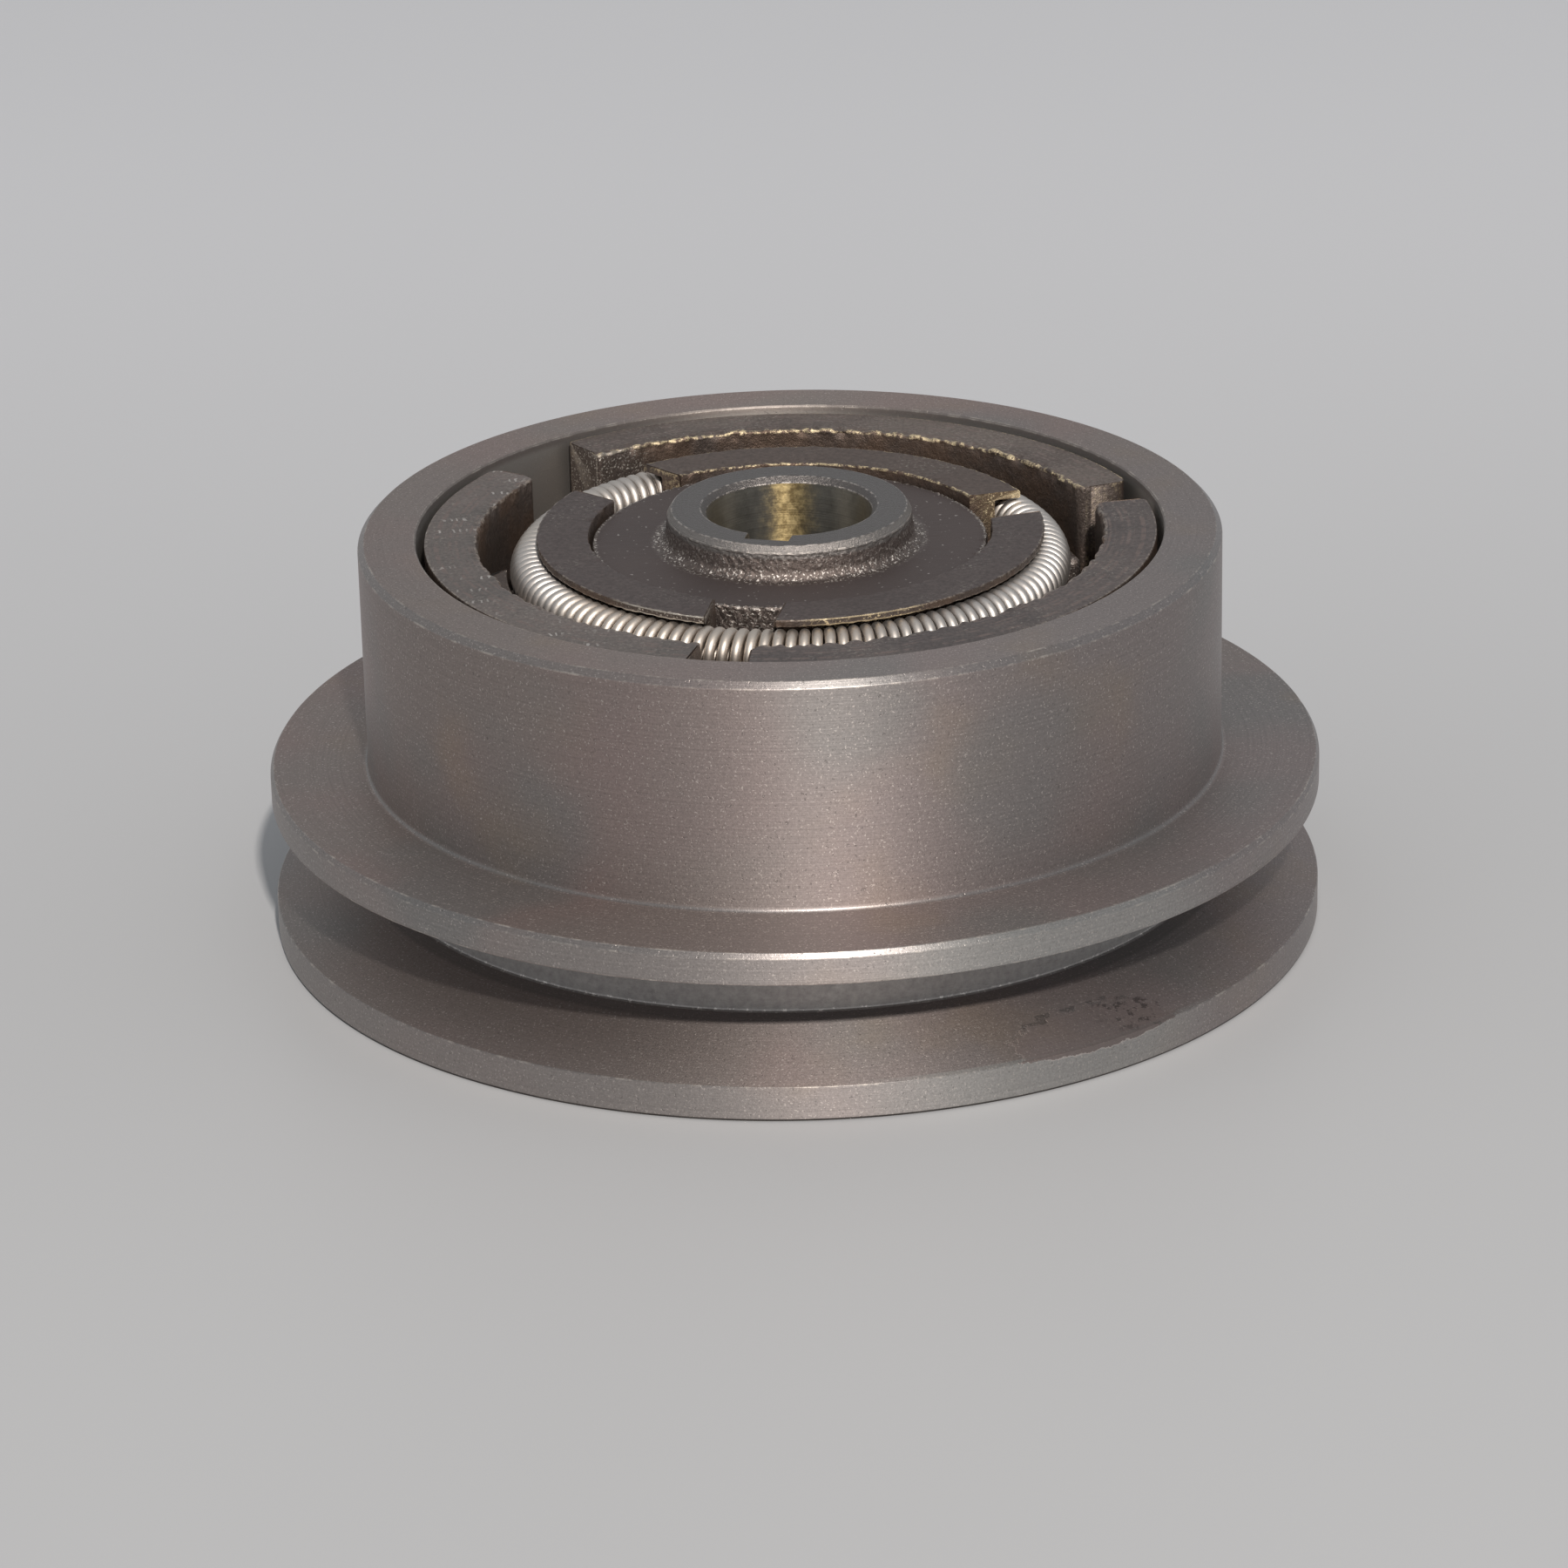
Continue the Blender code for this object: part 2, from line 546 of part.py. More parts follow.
def inner_race_profile(bottom):
    middle, top = bottom + 0.5 * BEARING_WIDTH, bottom + BEARING_WIDTH
    groove = race_groove(INNER_RACE_SHOULDER_RADIUS, -1)
    track = [(radius, middle + height) for radius, height in groove]
    return [
        (BEARING_BORE_RADIUS + RACE_CHAMFER, top),
        (INNER_RACE_SHOULDER_RADIUS, top),
    ] + track + [
        (INNER_RACE_SHOULDER_RADIUS, bottom),
        (BEARING_BORE_RADIUS + RACE_CHAMFER, bottom),
        (BEARING_BORE_RADIUS, bottom + RACE_CHAMFER),
        (BEARING_BORE_RADIUS, top - RACE_CHAMFER),
    ]


def make_balls(side, middle, parts):
    steel = metal(side + "_ball_steel", (0.75, 0.75, 0.76), 0.12)
    mesh = bpy.data.meshes.new(side + "_ball")
    shape = bmesh.new()
    bmesh.ops.create_icosphere(shape, subdivisions=2, radius=BALL_RADIUS)
    shape.to_mesh(mesh)
    shape.free()
    for number in range(BALL_COUNT):
        ball = bpy.data.objects.new("%s_ball_%d" % (side, number + 1), mesh)
        ball.location = BEARING_PITCH_RADIUS * direction(2.0 * math.pi * number / BALL_COUNT)
        ball.location.z = middle
        parts.objects.link(ball)
        finish(ball, steel, 180.0)


def make_cage(name, middle, parts, cutters):
    """Ribbon ring with a round window for each ball."""
    half_width = TRACK_RADIUS + CAGE_SIDE
    inner = BEARING_PITCH_RADIUS - 0.5 * CAGE_THICKNESS
    outer = BEARING_PITCH_RADIUS + 0.5 * CAGE_THICKNESS
    top, bottom = middle + half_width, middle - half_width
    profile = [(inner, top), (outer, top), (outer, bottom), (inner, bottom)]
    cage = turned(name, profile, 2 * BALL_COUNT, parts)
    windows = bpy.data.meshes.new(name + "_windows")
    shape = bmesh.new()
    for ball in range(BALL_COUNT):
        angle = 2.0 * math.pi * ball / BALL_COUNT
        place = BEARING_PITCH_RADIUS * direction(angle)
        place.z = middle
        turn = Matrix.Rotation(angle, 4, "Z") @ Matrix.Rotation(0.5 * math.pi, 4, "Y")
        bmesh.ops.create_cone(
            shape, cap_ends=True, segments=WINDOW_FACETS, radius1=TRACK_RADIUS,
            radius2=TRACK_RADIUS, depth=2.0 * TRACK_RADIUS,
            matrix=Matrix.Translation(place) @ turn)
    shape.to_mesh(windows)
    shape.free()
    cutter = bpy.data.objects.new(name + "_windows", windows)
    cutters.objects.link(cutter)
    combine(cage, cutter, "DIFFERENCE")
    finish(cage, metal(name + "_steel", (0.55, 0.52, 0.45), 0.35))


def make_seal(name, bottom, parts):
    inner = INNER_RACE_SHOULDER_RADIUS + TOUCH_GAP
    outer = OUTER_RACE_SHOULDER_RADIUS - TOUCH_GAP
    top = bottom + SEAL_THICKNESS
    profile = [(inner, top), (outer, top), (outer, bottom), (inner, bottom)]
    seal = turned(name, profile, BEARING_FACETS, parts)
    finish(seal, metal(name + "_rubber", (0.025, 0.025, 0.027), 0.6, 0.0))


def make_bearing(side, bottom, parts, cutters):
    middle = bottom + 0.5 * BEARING_WIDTH
    top_seal_z = bottom + BEARING_WIDTH - SEAL_RECESS - SEAL_THICKNESS
    outer = turned(side + "_bearing_outer_race", outer_race_profile(bottom), BEARING_FACETS, parts)
    finish(outer, metal(side + "_outer_race_steel", (0.70, 0.70, 0.71), 0.22))
    inner = turned(side + "_bearing_inner_race", inner_race_profile(bottom), BEARING_FACETS, parts)
    finish(inner, metal(side + "_inner_race_steel", (0.70, 0.70, 0.71), 0.22))
    make_balls(side, middle, parts)
    make_cage(side + "_bearing_cage", middle, parts, cutters)
    make_seal(side + "_bearing_top_seal", top_seal_z, parts)
    make_seal(side + "_bearing_bottom_seal", bottom + SEAL_RECESS, parts)


# Retaining rings


def ring_outline(seat_radius, free_radius, opening_angle, side):
    """Open ring with two eared ends. Side +1 has ears outward, -1 inward of the free edge."""
    ear_centre_radius = free_radius + side * (RING_EAR_REACH - RING_EAR_RADIUS)
    ear_angle = opening_angle + RING_EAR_RADIUS / ear_centre_radius
    shoulder_angle = opening_angle + 2.0 * RING_EAR_RADIUS / ear_centre_radius
    ear_tip_radius = free_radius + side * RING_EAR_REACH
    full = 2.0 * math.pi
    outline = arc(seat_radius, opening_angle, full - opening_angle, RING_FACETS)
    outline += arc(ear_tip_radius, full - opening_angle, full - ear_angle, EAR_FACETS)
    outline += arc(free_radius, full - shoulder_angle, shoulder_angle, RING_FACETS)
    outline += arc(ear_tip_radius, ear_angle, opening_angle, EAR_FACETS)
    hole_x = ear_centre_radius * math.cos(ear_angle)
    hole_y = ear_centre_radius * math.sin(ear_angle)
    last_turn = full * (EAR_HOLE_FACETS - 1) / EAR_HOLE_FACETS
    holes = [
        arc(RING_EAR_HOLE_RADIUS, 0.0, last_turn, EAR_HOLE_FACETS - 1, (hole_x, sign * hole_y))
        for sign in (1.0, -1.0)
    ]
    return [outline] + holes


def make_circlips(parts):
    ring_steel = (0.20, 0.19, 0.19)
    seat = POCKET_RADIUS + POCKET_GROOVE_DEPTH - TOUCH_GAP
    opening = 0.5 * RING_OPENING / seat
    loops = ring_outline(seat, seat - POCKET_RING_WIDTH, opening, -1)
    top = POCKET_RING_INSET + POCKET_RING_THICKNESS
    clip = flat_solid("bearing_circlip", loops, POCKET_RING_INSET, top, parts)
    finish(clip, metal("bearing_circlip_steel", ring_steel, 0.4))
    seat = SLEEVE_RADIUS - SLEEVE_GROOVE_DEPTH + TOUCH_GAP
    opening = 0.5 * RING_OPENING / seat
    loops = ring_outline(seat, seat + SLEEVE_RING_WIDTH, opening, 1)
    top = SLEEVE_RING_Z + SLEEVE_RING_THICKNESS
    clip = flat_solid("sleeve_circlip", loops, SLEEVE_RING_Z, top, parts)
    finish(clip, metal("sleeve_circlip_steel", ring_steel, 0.4))


def main():
    clear_scene()
    parts = new_collection("centrifugal_clutch")
    cutters = new_collection("cutters")
    make_drum_pulley(parts)
    make_driver_hub(parts, cutters)
    make_shoes(parts, cutters)
    make_garter_spring(parts)
    make_bearing("lower", LOWER_BEARING_Z, parts, cutters)
    make_bearing("upper", UPPER_BEARING_Z, parts, cutters)
    make_circlips(parts)


main()
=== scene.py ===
# %% [markdown]
# # A centrifugal clutch, dressed
#
# The clutch sits between a small engine and a V-belt. A keyed hub turns with the engine, three
# cast shoes ride on it, and one garter spring holds them in. Above idle speed the shoes swing out
# against the drum, and the belt pulley, which is one casting with the drum, starts to turn.
#
# The solid model is loaded as a fixed frame. It has the right sizes and the right pieces, but its
# round parts are flat-sided. Here each visible piece is made again as a smooth, fine surface in
# the same place, and gets a finish that shows how it was cast, turned or drawn.

# %% Load the frame
import math

import bpy
import numpy as np
from mathutils import Matrix, Vector
from mathutils.geometry import tessellate_polygon


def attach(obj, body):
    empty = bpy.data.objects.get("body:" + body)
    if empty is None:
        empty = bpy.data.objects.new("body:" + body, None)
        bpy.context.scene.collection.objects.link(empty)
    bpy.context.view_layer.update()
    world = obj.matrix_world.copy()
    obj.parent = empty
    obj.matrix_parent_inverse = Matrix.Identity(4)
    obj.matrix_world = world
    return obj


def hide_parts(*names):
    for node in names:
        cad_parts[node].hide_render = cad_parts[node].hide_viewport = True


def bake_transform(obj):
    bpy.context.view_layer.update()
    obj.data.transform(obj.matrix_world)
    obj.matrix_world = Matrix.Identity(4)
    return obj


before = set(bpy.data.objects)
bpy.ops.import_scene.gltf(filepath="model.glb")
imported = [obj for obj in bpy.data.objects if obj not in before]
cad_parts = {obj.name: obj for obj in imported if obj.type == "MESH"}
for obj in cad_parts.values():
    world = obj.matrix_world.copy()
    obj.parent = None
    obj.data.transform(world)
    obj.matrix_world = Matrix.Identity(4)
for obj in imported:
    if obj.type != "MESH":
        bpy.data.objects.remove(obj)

MM, TURN = 0.001, 2 * math.pi
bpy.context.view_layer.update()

# %% [markdown]
# ## The camera
#
# The photograph was taken with a long lens, from in front and about 22 degrees above the table.
# Its place was worked out from the ellipses of the rims, so it is written here as a point and two
# directions. A camera in Blender looks down its own -Z axis, so the matrix takes the sideways,
# upward and backward directions as its columns.

# %% Camera
CAMERA_PLACE = (0.0, -0.682041, 0.295774)
CAMERA_FORWARD = (-0.00188119, 0.92487309, -0.38027127)
CAMERA_UP = (0.02251832, 0.38021469, 0.92462409)
LENS, FILM_WIDTH = 137.968, 36.0


def put(name, data):
    """A new object in the scene, made of a mesh, a lamp or a camera."""
    thing = bpy.data.objects.new(name, data)
    bpy.context.scene.collection.objects.link(thing)
    return thing


def add_camera():
    """Place the camera so that its own axes are sideways, up and backward."""
    forward, up = Vector(CAMERA_FORWARD), Vector(CAMERA_UP)
    turn = Matrix((forward.cross(up), up, -forward)).transposed()
    camera = put("camera", bpy.data.cameras.new("camera"))
    camera.data.lens = LENS
    camera.data.sensor_width = FILM_WIDTH
    camera.data.clip_start = 10 * MM
    camera.matrix_world = Matrix.Translation(CAMERA_PLACE) @ turn.to_4x4()
    bpy.context.scene.camera = camera


add_camera()
print("camera looks down by", round(math.degrees(math.asin(-CAMERA_FORWARD[2])), 1), "degrees")

# %% [markdown]
# ## Sizes
#
# The frame gives each piece's box, and a turned piece also needs the radii and heights of its
# steps. They are the sizes of the solid model, in millimetres. A seat is the groove that holds a
# retaining ring.

# %% Sizes in millimetres
FLANGE, DRUM, DRUM_BORE, GROOVE_CORE = 64.0, 52.08, 45.1, 51.6
GROOVE_LOW, GROOVE_HIGH, PULLEY_TOP, DRUM_TOP = 4.36, 17.05, 20.89, 48.97
FLANK_SLOPE = math.tan(math.radians(17.5))
FLANK_RISE = (FLANGE - GROOVE_CORE) * FLANK_SLOPE
POCKET, WEB_HOLE, POCKET_TOP, CAVITY_FLOOR = 27.8, 23.2, 30.5, 32.7
HUB_BORE, SLEEVE, SHOULDER, SPIDER, BOSS = 10.0, 14.7, 18.0, 23.9, 14.76
SLEEVE_END, SPIDER_LOW, SPIDER_TOP, BOSS_TOP = 0.8, 33.5, 47.5, 51.65
KEY_HALF, KEY_FLOOR, KEY_ANGLE = 2.7, 12.4, 257.0
ARM_ANGLES, ARM_HALF, ARM_REACH, ARM_TOP = (17.0, 137.0, 257.0), 2.8, 36.5, 41.0
SHOE_LOW, SHOE_TOP, SHOE_INNER, SHOE_FACE = 33.3, 48.3, 38.5, 44.95
TRAVEL, SLOT_HALF, SLOT_ANGLE, WALL_END = 0.9, 4.7, math.radians(60.0), math.radians(53.3)
WEB_RADII, WEB_HALF_WIDTHS = (29.7, 37.2), (18.7, 10.1)
RIM_INNER, NECK, LIP, RIM_FOOT, CHANNEL = 25.1, 28.19, 31.39, 33.09, 35.1
LIP_TOP, LIP_LOW, CHANNEL_FLOOR, LEDGE = 48.5, 47.6, 41.0, 44.0
SHOE_MIDDLES = {"shoe_back": 74.4234, "shoe_left": 199.7706, "shoe_right": 317.4156}
RING, COIL, WIRE, SPRING_Z, COILS = 30.9, 3.0, 0.66, 44.3, 132
BEARING_LOW, BEARING_WIDTH, OUTER_RACE, INNER_RACE = 3.9, 13.0, (24.3, 27.5), (15.0, 18.6)
POCKET_SEAT, POCKET_SEAT_LOW, SLEEVE_SEAT, SLEEVE_SEAT_LOW = 29.1, 1.3, 13.8, 1.8


# %% [markdown]
# ## Surfaces as grids of points
#
# Every new surface here is a grid: one direction runs along a closed outline, the other carries
# that outline through space. A lathe part carries it round the axis until it meets itself. A shoe
# carries it through part of a turn and closes both ends. Working on whole arrays is quick, and the
# same few lines then serve every piece. The sign of the enclosed volume tells whether the faces
# point out, so a piece can't end up inside out.

# %% Grid to mesh


def shell(points, worn, closed_ring):
    """Faces of a grid (rows, columns, 3) whose rows are closed outlines. A ring joins its last row
    to its first; otherwise the first and last outlines become flat ends."""
    rows, columns = worn.shape
    index = np.arange(rows * columns).reshape(rows, columns)
    if closed_ring:
        here, there = index, np.roll(index, -1, axis=0)
        ends = []
    else:
        here, there = index[:-1], index[1:]
        ends = [index[0][::-1], index[-1]]
    quads = np.stack([here, np.roll(here, -1, 1), np.roll(there, -1, 1), there], -1).reshape(-1, 4)
    return {"points": points.reshape(-1, 3), "quads": quads, "ends": ends, "worn": worn.ravel()}


def volume(part):
    """Sum over the faces' fans of corner a dot (corner b cross corner c), divided by 6."""
    points, quads = part["points"], part["quads"]
    total = 0.0
    for b, c in ((1, 2), (2, 3)):
        cross = np.cross(points[quads[:, b]], points[quads[:, c]])
        total += np.einsum("ij,ij->", points[quads[:, 0]], cross)
    for end in part["ends"]:
        rim = points[end]
        total += np.einsum("j,ij->", rim[0], np.cross(rim[1:-1], rim[2:]))
    return total / 6.0


def store(mesh, name, values):
    """Keep one number for each point of the mesh, for the finish to read."""
    mesh.attributes.new(name, "FLOAT", "POINT").data.foreach_set("value", values)


def declare(piece, body, nodes):
    """Attach a piece to the body that it rides on, and hide the nodes that it stands for."""
    if body:
        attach(piece, body)
    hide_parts(*nodes)


def make_piece(name, shells, body, nodes, smooth=40.0):
    """Join shells given in millimetres into one piece that rides on a body and stands for nodes."""
    points, faces, worn, start = [], [], [], 0
    for part in shells:
        flip = volume(part) < 0
        for face_set in [part["quads"], *[end[None] for end in part["ends"]]]:
            faces += ((face_set[:, ::-1] if flip else face_set) + start).tolist()
        points.append(part["points"])
        worn.append(part["worn"])
        start += len(part["points"])
    mesh = bpy.data.meshes.new(name)
    mesh.from_pydata(np.concatenate(points) * MM, [], faces)
    store(mesh, "worn", np.concatenate(worn))
    mesh.shade_smooth()
    mesh.set_sharp_from_angle(angle=math.radians(smooth))
    piece = put(name, mesh)
    declare(piece, body, nodes)
    print(name, "has", len(faces), "faces")
    return piece


# %% [markdown]
# ## Outlines with real corners
#
# A turned corner is never a mathematical edge. A small round catches the lamp as a thin bright
# line, and without it the part looks drawn, not made. Each corner of an outline is therefore cut
# back along both sides and filled with a quadratic curve. The helper also marks the outward
# corners as worn. The finishes paint them paler there, partly as wear, where iron is knocked
# bright, and partly as painted edge highlights.

# %% Rounded outlines
GUARD, WAVES = 0.07, 24


def doubled_area(points):
    """Twice the area inside a closed outline, below 0 where it runs clockwise."""
    ahead = np.roll(points, -1, 0)
    return np.sum(points[:, 0] * ahead[:, 1] - ahead[:, 0] * points[:, 1])


def outline(corners, step):
    """Closed outline in (radius, height). Each corner (radius, height, cut) becomes the curve
    (1-t)^2 a + 2t(1-t) corner + t^2 b between its sides, and straight runs are split into steps.
    A fourth number is a corner's own step, for the run that follows it. A guard point just beside
    each corner keeps the run flat when it is shaded smooth.
    Returns the points and how worn each is: 1 on outward corners, 0 elsewhere."""
    corners = np.array([(*corner, step)[:4] for corner in corners], float)
    place, cut = corners[:, :2], corners[:, 2]
    before, after = np.roll(place, 1, 0) - place, np.roll(place, -1, 0) - place
    before /= np.linalg.norm(before, axis=1)[:, None]
    after /= np.linalg.norm(after, axis=1)[:, None]
    enter, leave = place + before * cut[:, None], place + after * cut[:, None]
    turning = before[:, 1] * after[:, 0] - before[:, 0] * after[:, 1]
    outward = np.sign(doubled_area(place)) * turning > 0
    points, worn = [], []
    for k in range(len(place)):
        t = np.linspace(0.0, 1.0, 5 if cut[k] > 0.25 else 3)[:, None]
        points.append((1 - t) ** 2 * enter[k] + 2 * t * (1 - t) * place[k] + t ** 2 * leave[k])
        worn.append(np.full(len(t), float(outward[k])))
        run = enter[(k + 1) % len(place)] - leave[k]
        length = np.linalg.norm(run)
        parts = max(1, int(length / corners[k, 3]))
        guard = min(0.25, GUARD / length)
        share = np.concatenate([[guard], np.arange(1, parts) / parts, [1 - guard]])
        points.append(leave[k] + share[:, None] * run)
        worn.append(np.zeros(len(share)))
    return np.concatenate(points), np.concatenate(worn)


def inward(points):
    """Unit normals of a closed outline that point to its inside, from the neighbours' chord."""
    chord = np.roll(points, -1, 0) - np.roll(points, 1, 0)
    normal = np.stack([-chord[:, 1], chord[:, 0]], 1)
    length = np.maximum(np.linalg.norm(normal, axis=1), 1e-9)
    return np.sign(doubled_area(points)) * normal / length[:, None]


def lumps(points, size, seed):
    """Smooth unevenness of about unit height: sine waves of random direction and phase, whose
    wavelengths lie between 0.6 and 1.6 times the size, added up and scaled by their number."""
    dice = np.random.default_rng(seed)
    waves = dice.normal(size=(WAVES, 3))
    lengths = dice.uniform(0.6, 1.6, WAVES)
    waves *= (TURN / size / lengths / np.linalg.norm(waves, axis=1))[:, None]
    return np.sin(points @ waves.T + dice.uniform(0, TURN, WAVES)).sum(-1) / math.sqrt(WAVES / 2)


# %% [markdown]
# ## Carrying an outline round the axis
#
# Two ways are enough. A full turn makes rims, races and the hub. A sector makes the shoes: its
# ends are given as an angle for each radius, so that an end can be radial like the shoe's wall, or
# parallel to a slot like the shoe's hub rim. Near each end the outline shrinks by a small amount
# in four steps, which rounds the end's edges.

# %% Full turns and sectors


def carried(radius, angle, height, flat, roughness, share=1.0):
    """Grid (angle, outline point): x = r cos a, y = r sin a, z = h. Roughness is a function of the
    grid and the outline that gives how far each point moves along the outline's outward normal."""
    points = np.stack([radius * np.cos(angle), radius * np.sin(angle), height], -1)
    if roughness is None:
        return points
    move, normal = -roughness(points, flat) * share, inward(flat)
    return carried(radius + move * normal[:, 0], angle, height + move * normal[:, 1], flat, None)


def turned(profile, angles, roughness=None):
    """The outline carried round the axis through all the angles."""
    flat, worn = profile
    a = angles[:, None]
    radius, height = flat[None, :, 0] + 0 * a, flat[None, :, 1] + 0 * a
    points = carried(radius, a, height, flat, roughness)
    return shell(points, np.broadcast_to(worn, radius.shape), True)


def sector(profile, low_end, high_end, rows, edge=0.2, tips=(0.0, 0.0), roughness=None):
    """Grid between two end angles that depend on the radius: a = low + (high - low) u, with u
    bunched towards both ends as (1 - cos(pi v)) / 2. The last four rows of an end shrink the
    outline by edge (1 - cos f) while they cover edge sin f. Tips round the two ends as seen from
    above: within a tip's reach R of an end the outline narrows by R - sqrt(R^2 - (R - s)^2)."""
    flat, worn = profile
    inner, outer = flat[:, 0].min(), flat[:, 0].max()
    middle, half = 0.5 * (inner + outer), 0.5 * (outer - inner)
    turn = np.linspace(0.5 * math.pi, 0.0, 5)
    share = 0.5 - 0.5 * np.cos(np.linspace(0.0, math.pi, rows))
    start, stop = edge * (1 - np.sin(turn)), edge * (1 - np.cos(turn))
    low, high = low_end(flat[:, 0])[None], high_end(flat[:, 0])[None]
    reach = (edge / flat[:, 0])[None]
    body = low + reach + share[1:-1, None] * (high - low - 2 * reach)
    first = low + start[:, None] / flat[None, :, 0]
    last = high - start[::-1, None] / flat[None, :, 0]
    a = np.concatenate([first, body, last])
    shrink = np.concatenate([stop[::-1], np.zeros(rows - 2), stop])[:, None]
    normal = inward(flat)[None]
    radius = flat[None, :, 0] + shrink * normal[..., 0]
    height = flat[None, :, 1] + shrink * normal[..., 1]
    for reach_of_tip, distance in zip(tips, ((a - low) * middle, (high - a) * middle)):
        gap = reach_of_tip - np.clip(distance, 0.0, reach_of_tip)
        narrow = reach_of_tip - np.sqrt(reach_of_tip ** 2 - gap ** 2)
        radius = middle + (radius - middle) * (1 - narrow / half)
    points = carried(radius, a, height, flat, roughness, 1 - shrink / edge)
    bent = np.clip(shrink / edge, 0.0, 1.0)
    used = np.maximum(worn[None] * (1 - bent), 0.8 * np.sin(math.pi * bent))
    return shell(points, used, False)


# %% [markdown]
# ## The drum and pulley casting
#
# This is one grey-iron casting, turned all over on a lathe: the drum that the shoes grip, the belt
# groove between two rims, and the bearing pocket underneath. A lathe profile describes it exactly.
# The one flaw is a shallow run of casting skin that the tool missed on the groove's lower flank,
# front right. It sinks by a tenth of a millimetre and reaches over the rim's corner, so the rows of
# points stand closer there. Its ragged border is left to the finish, which can be finer than the
# mesh.

# %% Drum and pulley
drum_corners = [
    (DRUM_BORE + 0.2, DRUM_TOP, 0.06), (DRUM - 0.75, DRUM_TOP, 0.08), (DRUM, DRUM_TOP - 0.75, 0.10),
    (DRUM, PULLEY_TOP, 0.60), (FLANGE - 0.42, PULLEY_TOP, 0.08), (FLANGE, PULLEY_TOP - 0.65, 0.08),
    (FLANGE, GROOVE_HIGH, 0.12), (GROOVE_CORE, GROOVE_HIGH - FLANK_RISE, 0.20),
    (GROOVE_CORE, GROOVE_LOW + FLANK_RISE, 0.20, 0.9),
    (FLANGE - 2.0, GROOVE_LOW + 2.0 * FLANK_SLOPE, 0.02, 0.25), (FLANGE, GROOVE_LOW, 0.12, 0.3),
    (FLANGE, GROOVE_LOW - 1.2, 0.02), (FLANGE, 0.35, 0.06), (FLANGE - 0.35, 0.0, 0.06),
    (POCKET + 0.6, 0.0, 0.08), (POCKET, 0.6, 0.08), (POCKET, POCKET_SEAT_LOW, 0.06),
    (POCKET_SEAT, POCKET_SEAT_LOW, 0.06), (POCKET_SEAT, BEARING_LOW, 0.06),
    (POCKET, BEARING_LOW, 0.06), (POCKET, POCKET_TOP, 0.20), (WEB_HOLE, POCKET_TOP, 0.15),
    (WEB_HOLE, CAVITY_FLOOR, 0.15), (DRUM_BORE, CAVITY_FLOOR, 0.50),
    (DRUM_BORE, DRUM_TOP - 0.2, 0.06),
]
FLAW_ANGLE, FLAW_HALF = math.radians(-57.0), math.radians(10.5)
FLAW_RADIUS, FLAW_REACH, FLAW_DEPTH, FLAW_STEP = 62.0, 5.0, 0.10, 0.0056


def casting_flaw(points):
    """1 in the middle of the patch, 0 at its border and below 0 outside it: one minus the squared
    distance, as an ellipse in angle and radius that ends a little below the rim's corner."""
    angle = np.arctan2(points[..., 1], points[..., 0])
    radius = np.hypot(points[..., 0], points[..., 1])
    below = np.clip((GROOVE_LOW - points[..., 2]) / 0.9, 0.0, 3.0)
    inside = np.clip(FLAW_RADIUS - radius, 0.0, 20.0) / FLAW_REACH
    far = ((angle - FLAW_ANGLE) / FLAW_HALF) ** 2 + inside ** 2
    low_half = (points[..., 2] > 1.5) & (points[..., 2] < 9.0)
    return np.where(low_half, np.clip(1.0 - far - below, -1.0, 1.0), -1.0)


def drum_roughness(points, flat):
    """The patch lies FLAW_DEPTH deep, apart from its border."""
    return -FLAW_DEPTH * np.clip(2.0 * casting_flaw(points), 0.0, 1.0)


near_flaw = np.arange(FLAW_ANGLE - 1.3 * FLAW_HALF, FLAW_ANGLE + 1.3 * FLAW_HALF, FLAW_STEP)
elsewhere = np.linspace(near_flaw[-1], near_flaw[0] + TURN, 280)[1:-1]
drum_turns = np.concatenate([near_flaw, elsewhere])
drum_shell = turned(outline(drum_corners, 2.5), drum_turns, drum_roughness)
drum = make_piece("drum_casting", [drum_shell], "drum", ["drum_pulley"])
store(drum.data, "flaw", casting_flaw(drum_shell["points"]))

# %% [markdown]
# ## The driver hub
#
# The hub is a rougher casting. Its sleeve runs inside the bearings, its flat disc closes the drum,
# and three arms under the spring push the shoes round. Only the boss top, the bore and the sleeve
# were machined. The keyway is broached through the bore, so the bore's outline is a circle joined
# to a slot, which as a radius for each angle is the larger of the two.

# %% Driver hub
hub_corners = [
    (HUB_BORE + 0.7, BOSS_TOP, 0.08), (BOSS - 0.55, BOSS_TOP, 0.08), (BOSS, BOSS_TOP - 0.85, 0.10),
    (BOSS, BOSS_TOP - 1.35, 0.30, 0.25), (BOSS + 0.25, SPIDER_TOP + 0.75, 0.40, 0.2),
    (BOSS + 0.9, SPIDER_TOP, 0.45, 0.7), (SPIDER, SPIDER_TOP, 0.40, 0.4),
    (SPIDER, SPIDER_LOW + 5.0, 0.02), (SPIDER, SPIDER_LOW, 0.30), (SHOULDER, SPIDER_LOW, 0.20),
    (SHOULDER, POCKET_TOP, 0.15), (SLEEVE, POCKET_TOP, 0.15), (SLEEVE, BEARING_LOW, 0.06),
    (SLEEVE_SEAT, BEARING_LOW, 0.06), (SLEEVE_SEAT, SLEEVE_SEAT_LOW, 0.06),
    (SLEEVE, SLEEVE_SEAT_LOW, 0.06), (SLEEVE, SLEEVE_END, 0.12), (HUB_BORE + 0.7, SLEEVE_END, 0.08),
    (HUB_BORE, SLEEVE_END + 0.7, 0.08), (HUB_BORE, BOSS_TOP - 0.7, 0.08),
]


def from_keyway(angles):
    """How far each angle lies from the keyway's middle, from 0 to pi."""
    return np.abs((angles - math.radians(KEY_ANGLE) + math.pi) % TURN - math.pi)


